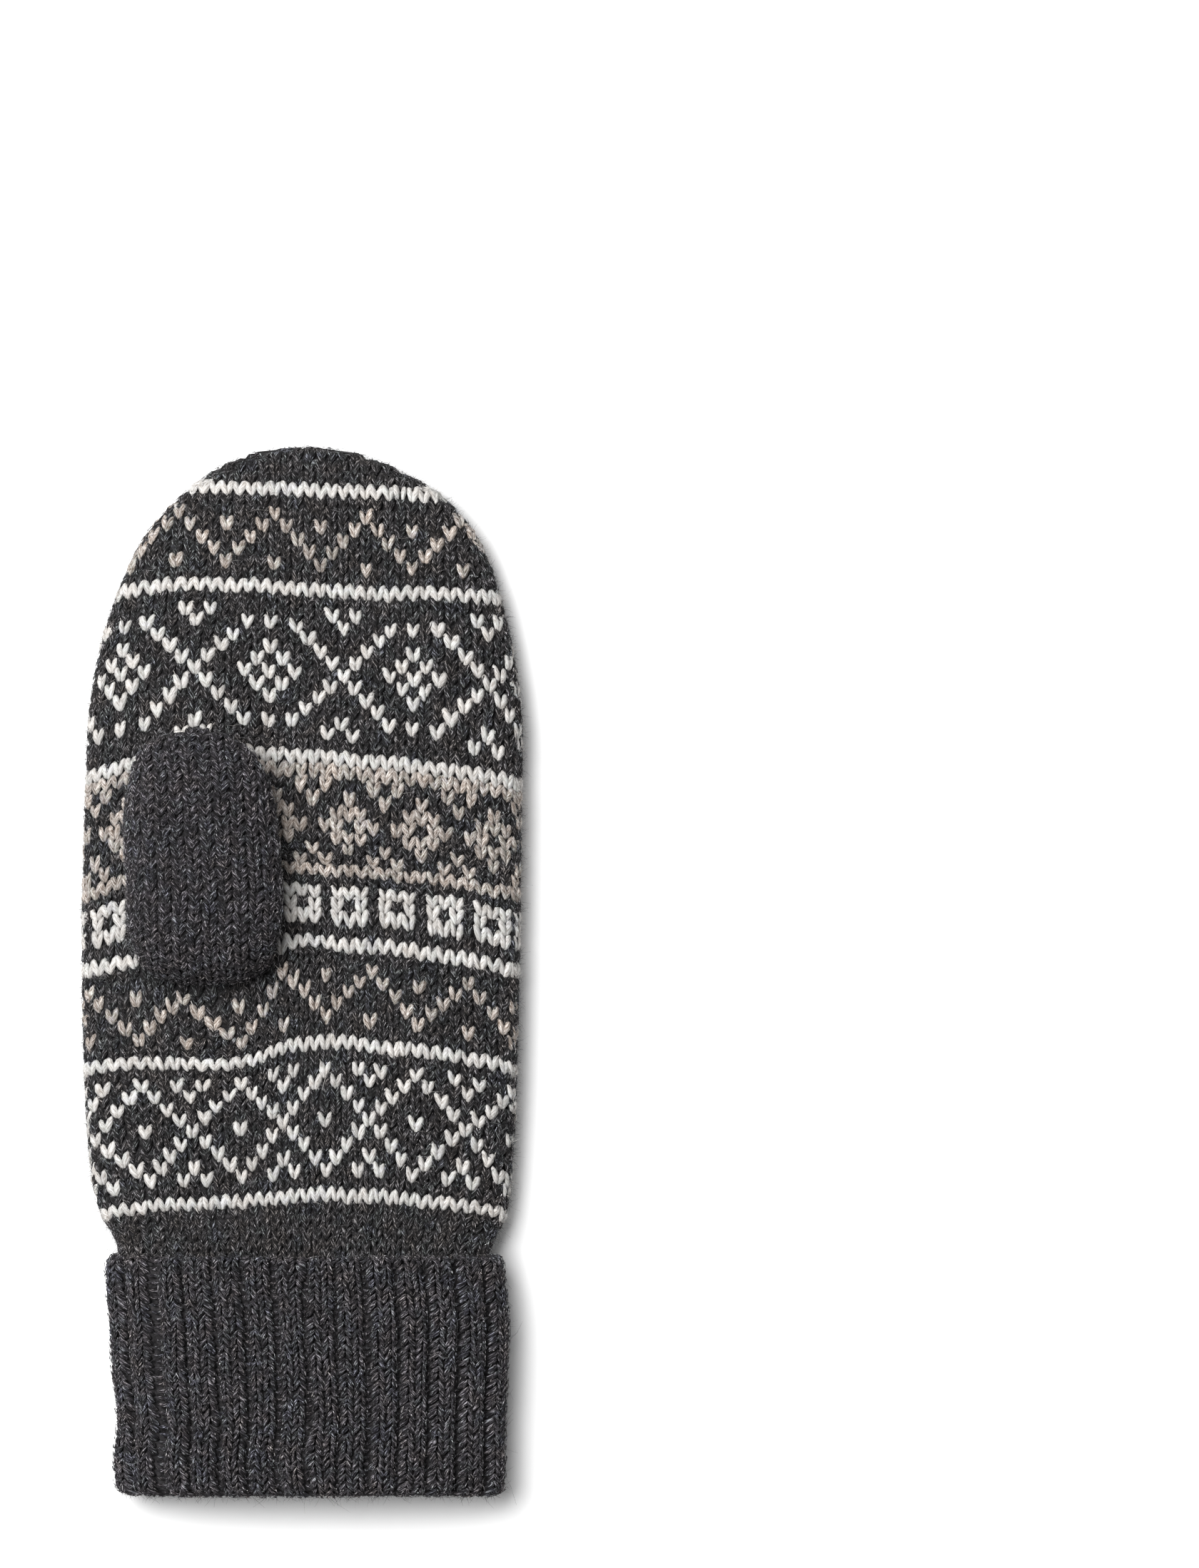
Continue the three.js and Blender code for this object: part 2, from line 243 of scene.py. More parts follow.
@dataclass(frozen=True)
class HandForm:
    """The hand's sections, from the cuff's edge to the fingertip."""

    cuff: CuffForm = CuffForm()
    length: float = 196.5
    width: float = 106.0
    thickness: float = 18.0
    spread: float = 11.0
    tip_top: float = 26.0
    tip_base: float = 11.0
    below: float = 0.6
    palm_power: float = 3.2
    back_power: float = 5.0
    outline: Table = Table(
        ("at", "left", "right", "thick", "fold"),
        (
            (0.0, 0.848, 0.89, 0.84, 0.5),
            (0.037, 0.9, 0.918, 0.87, 0.46),
            (0.098, 0.958, 0.948, 0.94, 0.42),
            (0.23, 0.992, 0.972, 0.99, 0.42),
            (0.406, 1.002, 0.987, 1.0, 0.42),
            (0.582, 0.985, 0.994, 0.97, 0.42),
            (0.67, 0.97, 0.994, 0.94, 0.42),
            (0.762, 0.909, 0.943, 0.88, 0.43),
            (0.85, 0.792, 0.855, 0.8, 0.44),
            (0.895, 0.702, 0.774, 0.75, 0.45),
            (0.938, 0.556, 0.63, 0.7, 0.46),
            (0.983, 0.31, 0.33, 0.62, 0.48),
            (1.0, 0.0, 0.0, 0.6, 0.48),
        ),
        rounded_end=True,
    )
    dents: tuple[tuple[float, float, float, float, float], ...] = (
        (0.05, -0.45, 0.06, 0.4, 0.05),
        (0.03, 0.5, 0.05, 0.35, 0.06),
        (0.25, 0.35, 0.12, 0.4, 0.045),
        (0.78, 0.1, 0.08, 0.5, 0.05),
        (0.62, 0.6, 0.07, 0.3, 0.04),
    )

    @property
    def start(self) -> float:
        """The cuff's edge."""
        return self.cuff.length

    @property
    def end(self) -> float:
        """The fingertip."""
        return self.cuff.length + self.length

    def section(self, y: Array) -> dict[str, Array]:
        """The section at heights y."""
        at = np.maximum(0.0, (y - self.start) / self.length)
        full = self.outline.value("thick", at) * self.thickness
        fold = self.outline.value("fold", at) * full
        own = {
            "left": -self.outline.value("left", at) * self.width / 2,
            "right": self.outline.value("right", at) * self.width / 2,
            "middle": fold,
            "up": (full - fold) * rounding(self.end - y, self.tip_top),
            "down": (fold + self.below) * rounding(self.end - y, self.tip_base),
            "floor": 0.0 * full,
        }
        under = self.cuff.section(np.minimum(y, self.start), self.cuff.layers + 0.0 * y)
        share = smooth((y - self.start) / self.spread)
        return {key: under[key] + (own[key] - under[key]) * share for key in own}

    def dent(self, y: Array, across: Array) -> Array:
        """How deep the palm's dents are at a place, in millimetres."""
        at = (y - self.start) / self.length
        depth = 0.0 * (y + across)
        for place, beside, long, wide, deep in self.dents:
            depth = depth + deep * self.thickness * np.exp(
                -(((at - place) / long) ** 2) - ((across - beside) / wide) ** 2
            )
        return depth * smooth((y - self.start) / self.spread)

    def point(self, y: Array, angle: Array) -> tuple[Array, Array]:
        """A point of the outer face: across and up, for heights y and angles round the section."""
        across, x, z, top = section_point(self.section(y), angle, (self.palm_power, self.back_power))
        return x, z - np.where(top, self.dent(y, across) * np.sin(angle), 0.0)

    def palm_height(self, x: Array, y: Array) -> Array:
        """The palm's height at a place seen from above."""
        s = self.section(y)
        half = (s["right"] - s["left"]) / 2
        across = np.clip((x - (s["right"] + s["left"]) / 2) / half, -1.0, 1.0)
        rise = np.sqrt(1.0 - np.abs(across) ** self.palm_power)
        return s["middle"] + s["up"] * rise - self.dent(y, across) * rise


@dataclass(frozen=True)
class ThumbForm:
    """The thumb's tube: it rises from its opening, turns onto the palm and lies along it."""

    hand: HandForm = HandForm()
    length: float = 61.5
    width: float = 38.0
    thickness: float = 15.0
    from_cuff: float = 66.3
    offset: float = 23.9
    tip_top: float = 17.0
    tip_base: float = 8.0
    bend: float = 0.5
    clearance: float = 0.3
    power: float = 2.7
    outline: Table = Table(
        ("at", "left", "right", "thick"),
        (
            (0.0, 0.68, 0.68, 0.95),
            (0.08, 0.76, 0.85, 0.96),
            (0.22, 0.92, 0.98, 0.99),
            (0.37, 0.94, 1.01, 1.0),
            (0.65, 0.975, 0.94, 1.0),
            (0.785, 0.91, 0.85, 0.97),
            (0.855, 0.865, 0.76, 0.95),
            (0.92, 0.77, 0.61, 0.93),
            (0.95, 0.64, 0.46, 0.92),
            (0.985, 0.37, 0.25, 0.9),
            (1.0, 0.05, -0.05, 0.9),
        ),
        rounded_end=True,
    )

    @property
    def start(self) -> float:
        """The thumb's lower edge."""
        return self.hand.start + self.from_cuff

    @property
    def bend_radius(self) -> float:
        """Radius of the tube's middle line where it turns."""
        return self.bend + self.thickness / 2

    @property
    def bend_y(self) -> float:
        """Where the turn ends and the tube lies."""
        return self.start + self.bend_radius + self.outline.rows[0][3] * self.thickness / 2

    @property
    def bend_length(self) -> float:
        """Length of the middle line's turn."""
        return self.bend_radius * math.pi / 2

    @property
    def total(self) -> float:
        """Length of the middle line."""
        return self.bend_length + self.start + self.length - self.bend_y

    def point(self, along: Array, angle: Array) -> tuple[Array, Array, Array]:
        """A point of the outer face.

        Args:
            along: length along the middle line.
            angle: angle round the section, a quarter turn at the front.

        Returns:
            Across, along the hand and up, in millimetres.
        """
        lying = along - self.bend_length
        to_end = self.total - along
        turn = np.clip(along / self.bend_length, 0.0, 1.0) * math.pi / 2
        front = np.where(lying > 0, self.bend_y + lying, self.bend_y - self.bend_radius * np.cos(turn))
        at = (front - self.start) / self.length
        thick = self.outline.value("thick", at) * self.thickness
        left = -self.outline.value("left", at) * self.width / 2
        right = self.outline.value("right", at) * self.width / 2
        c, s = np.cos(angle), np.sin(angle)
        x = (left + right) / 2 + (right - left) / 2 * signed_power(c, 2 / self.power) - self.offset
        end = np.where(s >= 0, rounding(to_end, self.tip_top), rounding(to_end, self.tip_base))
        radius = self.bend_radius - (self.thickness - thick) / 2 + thick / 2 * end * s
        y = np.where(lying > 0, self.bend_y + lying, self.bend_y - radius * np.cos(turn))
        z = np.where(lying > 0, radius, radius * np.sin(turn)) + self.clearance
        return x, y, z + self.hand.palm_height(x, y)


# ---------------------------------------------------------------- knitted surfaces


def unit(vectors: Array) -> Array:
    """Vectors of length one."""
    return vectors / np.maximum(np.linalg.norm(vectors, axis=-1, keepdims=True), TINY)


def lengths_to(steps: Array) -> Array:
    """The length up to each point of lines, from the steps between their points."""
    return np.concatenate([np.zeros((*steps.shape[:-1], 1)), np.cumsum(steps, axis=-1)], axis=-1)


def cells(scale: Array, at: Array) -> tuple[Array, Array]:
    """The cell of a rising scale that each place lies in, and the share of the way through it."""
    i = np.interp(at, scale, np.arange(len(scale)))
    first = np.clip(i.astype(int), 0, len(scale) - 2)
    return first, i - first


def between(grid: Array, down: tuple[Array, Array], over: tuple[Array, Array]) -> Array:
    """Reads a grid of points between its points, at cells and shares down and across it."""
    (i, a), (j, b) = down, over
    a, b = a[..., None], b[..., None]
    low = grid[i, j] * (1 - b) + grid[i, j + 1] * b
    high = grid[i + 1, j] * (1 - b) + grid[i + 1, j + 1] * b
    return low * (1 - a) + high * a


def stitch_scale(first: float, last: float) -> Array:
    """A scale of wales or courses, in even steps."""
    return np.linspace(first, last, round((last - first) * STEPS) + 1)


@dataclass
class KnitSurface:
    """A face of knitting: wales run across it, courses run along it, and heights stand off it."""

    wales: Array
    courses: Array
    points: Array
    past_fold: Array
    outward: float = 1.0
    normals: Array = field(init=False)
    across: Array = field(init=False)
    along: Array = field(init=False)

    def __post_init__(self) -> None:
        """Works out the directions across, along and outward at each point of the grid."""
        across = np.gradient(self.points, axis=1)
        along = np.gradient(self.points, axis=0)
        normal = np.cross(across, along) * self.outward
        self.across, self.along, self.normals = (unit(v) for v in (across, along, normal))

    def read(self, grid: Array, wale: Array, course: Array) -> Array:
        """Reads a grid at wales and courses."""
        return between(grid, cells(self.courses, course), cells(self.wales, wale))

    def place(self, wale: Array, course: Array, height: Array) -> Array:
        """Points at heights off the surface, in millimetres."""
        normal = self.read(self.normals, wale, course)
        return self.read(self.points, wale, course) + unit(normal) * np.asarray(height)[..., None]

    def beyond(self, wale: Array, course: Array) -> Array:
        """How far places lie past this face's fold, in millimetres."""
        return self.read(self.past_fold[..., None], wale, course)[..., 0]


@dataclass(frozen=True)
class CourseTable:
    """A value for some courses, read at places across the palm: a smooth curve between short rows."""

    marks: tuple[float, ...]
    rows: tuple[tuple[float, ...], ...]

    def value(self, course: float, at: Array) -> Array:
        """Reads a course.

        Args:
            course: the course's number.
            at: places across, on the marks' own scale.

        Returns:
            The values, carried on in line past the first and last mark.
        """
        numbers = np.array([row[0] for row in self.rows])
        values = np.array([row[1:] for row in self.rows])
        i = int(np.clip(np.searchsorted(numbers, course, side="right") - 1, 0, len(numbers) - 2))
        row = through_rows(numbers, values, i, course)
        marks = np.array(self.marks)
        slopes = np.gradient(row, marks)
        j = np.clip(np.searchsorted(marks, at, side="right") - 1, 0, len(marks) - 2)
        width = marks[j + 1] - marks[j]
        t = np.clip((at - marks[j]) / width, 0.0, 1.0)
        found = hermite(t, row[j], slopes[j] * width, row[j + 1], slopes[j + 1] * width)
        past = np.minimum(at - marks[0], 0.0) * slopes[0] + np.maximum(at - marks[-1], 0.0) * slopes[-1]
        return found + past


COURSES = CourseTable(
    (-1.0, -0.75, -0.5, -0.25, 0.0, 0.25, 0.5, 0.75, 1.0),
    (
        (-9.0, 47.0, 47.0, 47.0, 47.0, 47.0, 47.0, 47.0, 47.0, 47.0),
        (-5.0, 57.6, 58.0, 58.3, 58.5, 58.6, 58.5, 58.3, 58.0, 57.6),
        (0.0, 68.0, 70.4, 71.5, 72.1, 73.5, 73.7, 72.5, 70.7, 68.0),
        (6.0, 86.2, 88.6, 89.2, 90.0, 91.8, 92.2, 91.2, 89.4, 86.2),
        (12.0, 103.7, 105.7, 105.1, 106.3, 110.3, 110.2, 108.6, 106.9, 103.3),
        (14.0, 109.8, 111.1, 110.4, 110.9, 116.8, 116.5, 114.9, 113.0, 109.6),
        (16.0, 115.9, 117.6, 115.3, 116.5, 123.2, 122.7, 121.2, 119.0, 115.8),
        (18.0, 121.8, 124.6, 121.2, 123.0, 130.0, 128.3, 126.9, 124.8, 121.8),
        (18.8, 124.1, 126.9, 123.5, 125.6, 132.1, 130.5, 129.2, 127.1, 124.2),
        (20.0, 127.6, 130.4, 132.3, 133.9, 134.9, 133.9, 132.6, 130.5, 127.8),
        (23.0, 138.0, 141.0, 142.9, 144.1, 144.6, 144.0, 143.0, 140.6, 137.6),
        (26.0, 145.6, 150.3, 151.8, 152.6, 152.8, 151.9, 150.6, 148.9, 146.0),
        (30.0, 160.0, 162.6, 163.8, 164.2, 163.6, 162.5, 161.8, 160.2, 158.0),
        (35.0, 174.4, 178.4, 180.6, 180.8, 180.0, 178.9, 177.4, 175.9, 173.0),
        (38.0, 184.0, 187.2, 188.8, 188.9, 188.4, 187.6, 186.6, 185.3, 182.9),
        (42.0, 197.0, 200.2, 201.4, 201.0, 200.1, 199.3, 198.8, 197.9, 196.0),
        (49.0, 218.0, 220.6, 221.6, 221.3, 220.4, 219.3, 219.3, 219.0, 218.0),
        (57.0, 245.6, 245.6, 245.4, 244.9, 244.6, 244.0, 243.4, 243.3, 243.3),
        (60.6, 254.9, 254.9, 254.9, 254.9, 254.9, 254.9, 254.9, 254.9, 254.9),
    ),
)
WALES = CourseTable(
    (-17.5, -13.5, -9.5, -5.5, -1.5, 2.5, 6.5, 10.5, 14.5, 18.5),
    (
        (-9.0, -43.6, -33.0, -23.0, -12.9, -3.4, 6.0, 15.5, 25.0, 34.8, 45.3),
        (-5.0, -44.4, -33.5, -23.3, -13.0, -3.4, 6.0, 15.6, 25.2, 35.2, 46.0),
        (0.0, -47.2, -35.7, -25.3, -14.2, -4.0, 6.0, 16.2, 26.2, 37.6, 49.6),
        (6.0, -50.3, -37.8, -26.4, -14.6, -4.5, 5.7, 16.4, 27.4, 39.7, 51.0),
        (16.0, -51.8, -39.8, -28.2, -14.6, -4.3, 5.9, 16.8, 28.4, 40.1, 51.6),
        (23.0, -51.9, -41.1, -29.2, -17.4, -5.5, 6.0, 17.4, 28.9, 40.3, 52.0),
        (30.0, -53.0, -42.6, -31.0, -18.6, -6.3, 5.5, 17.2, 28.9, 40.7, 52.2),
        (37.0, -52.4, -41.0, -29.1, -17.1, -5.3, 6.3, 18.0, 29.6, 41.8, 52.6),
        (42.0, -51.6, -41.2, -29.1, -16.9, -4.8, 7.3, 18.7, 30.0, 42.5, 53.2),
        (51.0, -49.8, -39.4, -27.5, -15.6, -3.9, 7.4, 18.3, 29.7, 42.0, 53.0),
        (60.6, -48.4, -38.0, -26.6, -15.0, -3.7, 7.2, 18.0, 29.2, 40.5, 51.0),
    ),
)


@dataclass
class FaceGrid:
    """One face of the hand's form, read by height and by the length round it from its middle."""

    form: HandForm
    palm: bool
    below: float = 12.0
    widest: float = 62.0
    flat_share: float = 0.93
    heights: Array = field(init=False)
    reach: Array = field(init=False)
    points: Array = field(init=False)
    folds: Array = field(init=False)

    def __post_init__(self) -> None:
        """Measures the face."""
        self.heights = np.linspace(self.form.cuff.length - self.below, self.form.end - SHORT_OF_END, 420)
        self.reach = np.linspace(-self.widest, self.widest, 621)
        self.points = np.zeros((len(self.heights), len(self.reach), 2))
        self.folds = np.zeros((len(self.heights), 2))
        middle = math.pi / 2 if self.palm else -math.pi / 2
        for side in (-1, 1):
            turn = np.linspace(0.0, math.pi, 2 * QUARTER + 1) * side
            angle = middle - turn if self.palm else middle + turn
            x, z = self.form.point(self.heights[:, None], angle[None, :])
            arc = lengths_to(np.hypot(np.diff(x, axis=1), np.diff(z, axis=1)))
            self.folds[:, 0 if side < 0 else 1] = arc[:, QUARTER]
            chosen = self.reach < 0 if side < 0 else self.reach >= 0
            for k in range(len(self.heights)):
                for axis, values in enumerate((x, z)):
                    self.points[k, chosen, axis] = np.interp(np.abs(self.reach[chosen]), arc[k], values[k])

    def fold(self, y: Array, right: Array) -> Array:
        """Length from the face's middle to its fold."""
        k, u = cells(self.heights, y)
        side = right.astype(int)
        return self.folds[k, side] * (1 - u) + self.folds[k + 1, side] * u

    def place(self, y: Array, reach: Array) -> tuple[Array, Array]:
        """Points across and up, for heights and lengths round the face."""
        found = between(self.points, cells(self.heights, y), cells(self.reach, reach))
        return found[..., 0], found[..., 1]

    def reach_to(self, y: Array, across: Array) -> Array:
        """Length round the face to places across it, carried on in line past the face's flatter middle."""
        found = np.zeros(len(across))
        for n, (height, x) in enumerate(zip(y, across)):
            k = int(cells(self.heights, np.array([height]))[0][0])
            flat = np.abs(self.reach) < self.flat_share * self.folds[k].min()
            line = self.points[k, flat, 0]
            near = float(np.clip(x, line[0], line[-1]))
            found[n] = np.interp(near, line, self.reach[flat]) + (x - near)
        return found


@dataclass(frozen=True)
class HandKnit:
    """Lays the hand's wales and courses on its form."""

    form: HandForm = HandForm()
    half_wales: int = 20
    widest: float = 24.0
    first_course: float = -8.5
    last_course: float = 60.6
    drop_from: float = 196.0
    ripple: float = 0.2
    calm_from: float = 58.0
    calm_over: float = 8.0
    pucker: float = 0.22
    calm_at_fold: float = 10.0

    def surface(self, palm: bool) -> KnitSurface:
        """The palm's face or the back's face.

        Args:
            palm: True for the palm, False for the back.

        Returns:
            The face's knitted surface.
        """
        face = FaceGrid(self.form, palm)
        wales = stitch_scale(-self.widest, self.widest)
        rows = stitch_scale(self.first_course, self.last_course)
        points = np.zeros((len(rows), len(wales), 3))
        past = np.zeros((len(rows), len(wales)))
        half = self.form.width / 2
        for n, row in enumerate(rows):
            across = np.clip(WALES.value(row, wales) / half, -1.0, 1.0)
            y = np.minimum(COURSES.value(row, across), self.form.end - 2 * SHORT_OF_END)
            calm = smooth((self.calm_from - row) / self.calm_over)
            y = y + self.ripple * np.sin(wales * 0.9 + row * 0.35) * calm
            if palm:
                marks = np.array(WALES.marks)
                at = WALES.value(row, marks)
                reach = face.reach_to(COURSES.value(row, np.clip(at / half, -1, 1)), at)
                line = CourseTable(WALES.marks, ((0.0, *reach), (1.0, *reach)))
                reach = line.value(0.5, wales)
            else:
                level = np.minimum(y, self.drop_from)
                reach = wales * face.fold(level, wales >= 0) / self.half_wales
            x, z = face.place(y, reach)
            points[n] = np.stack([x, y, np.maximum(z, RESTING)], axis=1)
            past[n] = np.abs(reach) - face.fold(y, reach >= 0)
        surface = KnitSurface(wales, rows, points, past, 1.0 if palm else -1.0)
        if palm:
            wave = np.sin(wales[None, :] * 0.55 + 1.3) * np.sin(rows[:, None] * 0.42 + 0.4)
            wave += 0.7 * np.sin(wales[None, :] * 0.31 - rows[:, None] * 0.23)
            calm = smooth(-past / self.calm_at_fold)
            surface.points = surface.points + surface.normals * (self.pucker * wave * calm)[..., None]
            surface.__post_init__()
        return surface


@dataclass(frozen=True)
class ThumbKnit:
    """Lays the thumb's wales and courses on its form."""

    form: ThumbForm = ThumbForm()
    wale: float = 3.68
    course: float = 2.65
    widest: float = 10.5

    def surface(self) -> KnitSurface:
        """The thumb's face, from the front over both folds towards the palm."""
        along = np.linspace(0.0, self.form.total - SHORT_OF_END, 260)
        wales = stitch_scale(-self.widest, self.widest)
        grid = np.zeros((len(along), len(wales), 3))
        past = np.zeros((len(along), len(wales)))
        for side in (-1.0, 1.0):
            angle = math.pi / 2 - side * np.linspace(0.0, math.pi, 2 * QUARTER + 1)
            x, y, z = self.form.point(along[:, None], angle[None, :])
            x, y, z = np.broadcast_arrays(x, y, z)
            dx, dy, dz = (np.diff(values, axis=1) for values in (x, y, z))
            arc = lengths_to(np.sqrt(dx**2 + dy**2 + dz**2))
            chosen = wales < 0 if side < 0 else wales >= 0
            reach = np.abs(wales[chosen]) * self.wale
            for k in range(len(along)):
                for axis, values in enumerate((x, y, z)):
                    grid[k, chosen, axis] = np.interp(reach, arc[k], values[k])
                past[k, chosen] = reach - arc[k, QUARTER]
        front = grid[:, len(wales) // 2]
        length = lengths_to(np.linalg.norm(np.diff(front, axis=0), axis=1))
        rows = np.arange(0.0, length[-1] / self.course, 1 / STEPS)
        k, share = cells(length, rows * self.course)
        u = share[:, None]
        points = grid[k] * (1 - u[..., None]) + grid[k + 1] * u[..., None]
        return KnitSurface(wales, rows, points, past[k] * (1 - u) + past[k + 1] * u)


@dataclass(frozen=True)
class CuffKnit:
    """Lays the ribbing on the cuff: down its outer face from the edge, round the fold and up inside."""

    form: CuffForm = CuffForm()
    ribs: int = 28
    wales_per_rib: int = 3
    rib_depth: float = 1.85
    purl_share: float = 0.15
    purl_spread: tuple[float, float] = (-0.05, 0.06)
    wide_rib: int = 12
    wide_share: float = 0.42
    course: float = 1.75
    drawn_in: float = 1.1
    inside: float = 26.0
    inside_out: float = 1.35
    edge_relief: float = 0.45
    drift: float = 0.006
    edge_wave: float = 0.25
    overlap: float = 0.2
    palm_power: float = 3.2
    back_power: float = 5.0

    def path(self) -> tuple[Array, Array, Array]:
        """The cuff's profile: lengths along it, heights and depths."""
        edge = self.form.outer_layer / 2
        fold = (self.form.layers + self.form.inner_layer) / 2
        turn = np.radians(np.linspace(180, 0, 13))
        y = list(self.form.length - edge + edge * np.sin(turn))
        depth = list(edge - edge * np.cos(turn[::-1]))[::-1]
        for height in np.linspace(self.form.length - edge - 1, fold + 1, 40):
            y.append(height)
            depth.append(0.0)
        for a in np.radians(np.linspace(0, 180, 25)):
            y.append(fold - (fold - self.drawn_in) * math.sin(a))
            depth.append(fold - fold * math.cos(a))
        for height in np.linspace(fold + 1, fold + self.inside, 16):
            y.append(height)
            depth.append(2 * fold)
        y, depth = np.array(y), np.array(depth)
        reach = lengths_to(np.hypot(np.diff(y), np.diff(depth)))
        return reach, y, depth

    def spread(self, wales: Array) -> Array:
        """Shifts the wales so that each rib has two wide knit wales and a narrow purl wale.

        Args:
            wales: wale numbers, where every third is a purl wale.

        Returns:
            Where they lie, in even wales.
        """
        random = np.random.default_rng(Seed.RIBS)
        shares = self.purl_share + random.uniform(*self.purl_spread, self.ribs)
        shares[self.wide_rib] = self.wide_share
        marks, places = [-1.5 - self.wales_per_rib], [-1.5 - self.wales_per_rib]
        for rib in range(-1, self.ribs + 1):
            share = shares[rib % self.ribs] * self.wales_per_rib
            first = rib * self.wales_per_rib
            marks += [first - 0.5, first + 0.5]
            places += [first - share / 2, first + share / 2]
        return np.interp(wales, marks, places)

    def section_point(self, y: Array, depth: Array, angle: Array) -> tuple[Array, Array]:
        """A point of the cuff's section."""
        section = self.form.section(y, depth)
        return section_point(section, angle, (self.palm_power, self.back_power))[1:3]

    def surface(self) -> KnitSurface:
        """The cuff's whole face."""
        reach, y, depth = self.path()
        angle = np.linspace(-self.overlap, 2 * math.pi + self.overlap, 3001)
        middle = np.full_like(angle, self.form.length / 2)
        x, z = self.section_point(middle, 0 * angle, angle)
        arc = lengths_to(np.hypot(np.diff(x), np.diff(z)))
        start = np.interp(0.0, angle, arc)
        around = np.interp(2 * math.pi, angle, arc) - start
        count = self.ribs * self.wales_per_rib
        wales = stitch_scale(-1.5, count + 0.5)
        at = np.interp(self.spread(wales) * around / count + start, arc, angle)
        rows = np.arange(0.0, reach[-1] / self.course, 1 / STEPS)
        row_y = np.interp(rows * self.course, reach, y)
        row_depth = np.interp(rows * self.course, reach, depth)
        wave = 0.35 * np.sin(rows[:, None] * 0.33 + wales[None, :] * 0.21)
        wave += 0.3 * np.sin(rows[:, None] * 0.17 - wales[None, :] * 0.4)
        half = self.wales_per_rib / 2
        beside = np.abs((wales + half) % self.wales_per_rib - half)
        valley = 1 - smooth((beside - 0.3) / 0.62)
        inside = smooth((row_depth - 2.2) / 2.5)[:, None]
        at_edge = smooth((rows * self.course - 2.0) / 5.0)[:, None]
        relief = self.rib_depth * valley[None, :] * (1 - self.inside_out * inside)
        relief = relief * (self.edge_relief + (1 - self.edge_relief) * at_edge)
        drift = at[None, :] + self.drift * wave
        px, pz = self.section_point(row_y[:, None], row_depth[:, None] + relief, drift)
        py = np.broadcast_to(row_y[:, None], px.shape) + self.edge_wave * wave
        points = np.stack([px, py, np.maximum(pz, RESTING)], axis=2)
        return KnitSurface(wales, rows, points, np.full(px.shape, -10.0))


# ---------------------------------------------------------------- pattern


@dataclass(frozen=True)
class Band:
    """A band of the pattern: its first course, its chart from top to bottom, and the wale it starts at."""

    first: int
    chart: tuple[str, ...]
    phase: int
    yarn: Yarn


ZIGZAG = ("X.......", ".X..X..X", "..X...X.", "...X.X..", "X...X...")
LATTICE = (
    "X..X.X..",
    ".X..X..X",
    "..X...X.",
    "...X.X..",
    "X...X...",
    "...X.X..",
    "..X...X.",
    ".X..X..X",
    "X..X.X..",
)
SQUARES = ("XXX.", "X.X.", "XXX.")
FLOWERS = (".X...X", "X..X..", "..XXX.", ".XX.XX", "..XXX.", "X..X..", ".X...X")
DIAMONDS = (
    ".....X.X....",
    "X.X...X...X.",
    "...X.....X..",
    "X...X...X...",
    ".X...X.X...X",
    "X.X...X...X.",
    ".X...X.X...X",
    "X...X...X...",
    "...X.....X..",
    "X.X...X...X.",
    ".....X.X....",
)
FULL = ("X",)


@dataclass(frozen=True)
class Pattern:
    """The hand's pattern."""

    bands: tuple[Band, ...] = (
        Band(0, FULL, 0, Yarn.WHITE),
        Band(2, LATTICE, 2, Yarn.WHITE),
        Band(12, FULL, 0, Yarn.WHITE),
        Band(14, ZIGZAG, -2, Yarn.BEIGE),
        Band(20, FULL, 0, Yarn.WHITE),
        Band(22, SQUARES, -1, Yarn.WHITE),
        Band(26, FULL, 0, Yarn.BEIGE),
        Band(27, FLOWERS, 1, Yarn.BEIGE),
        Band(34, FULL, 0, Yarn.BEIGE),
        Band(35, FULL, 0, Yarn.WHITE),
        Band(37, DIAMONDS, -3, Yarn.WHITE),
        Band(49, FULL, 0, Yarn.WHITE),
        Band(51, ZIGZAG, -3, Yarn.BEIGE),
        Band(57, FULL, 0, Yarn.WHITE),
    )

    def yarn(self, wale: int, course: int) -> Yarn:
        """The yarn of the stitch at a wale and a course."""
        for band in self.bands:
            if band.first <= course < band.first + len(band.chart):
                line = band.chart[len(band.chart) - 1 - (course - band.first)]
                return band.yarn if line[(wale - band.phase) % len(line)] == "X" else Yarn.CHARCOAL
        return Yarn.CHARCOAL


# ---------------------------------------------------------------- stitches


def new_object(name: str, data: bpy.types.ID) -> bpy.types.Object:
    """A new object in the scene."""
    obj = bpy.data.objects.new(name, data)
    bpy.context.scene.collection.objects.link(obj)
    return obj


def mesh_arrays(bm: bmesh.types.BMesh) -> tuple[Array, Array]:
    """The points and triangles of a mesh, which is freed."""
    bmesh.ops.triangulate(bm, faces=bm.faces)
    bm.verts.ensure_lookup_table()
    points = np.array([tuple(v.co) for v in bm.verts])
    faces = np.array([[v.index for v in f.verts] for f in bm.faces])
    bm.free()
    return points, faces


def coarse_ball(sides: int, rings: int) -> tuple[Array, Array]:
    """The points and triangles of a coarse ball of radius one."""
    bm = bmesh.new()
    bmesh.ops.create_uvsphere(bm, u_segments=sides, v_segments=rings, radius=1.0)
    return mesh_arrays(bm)


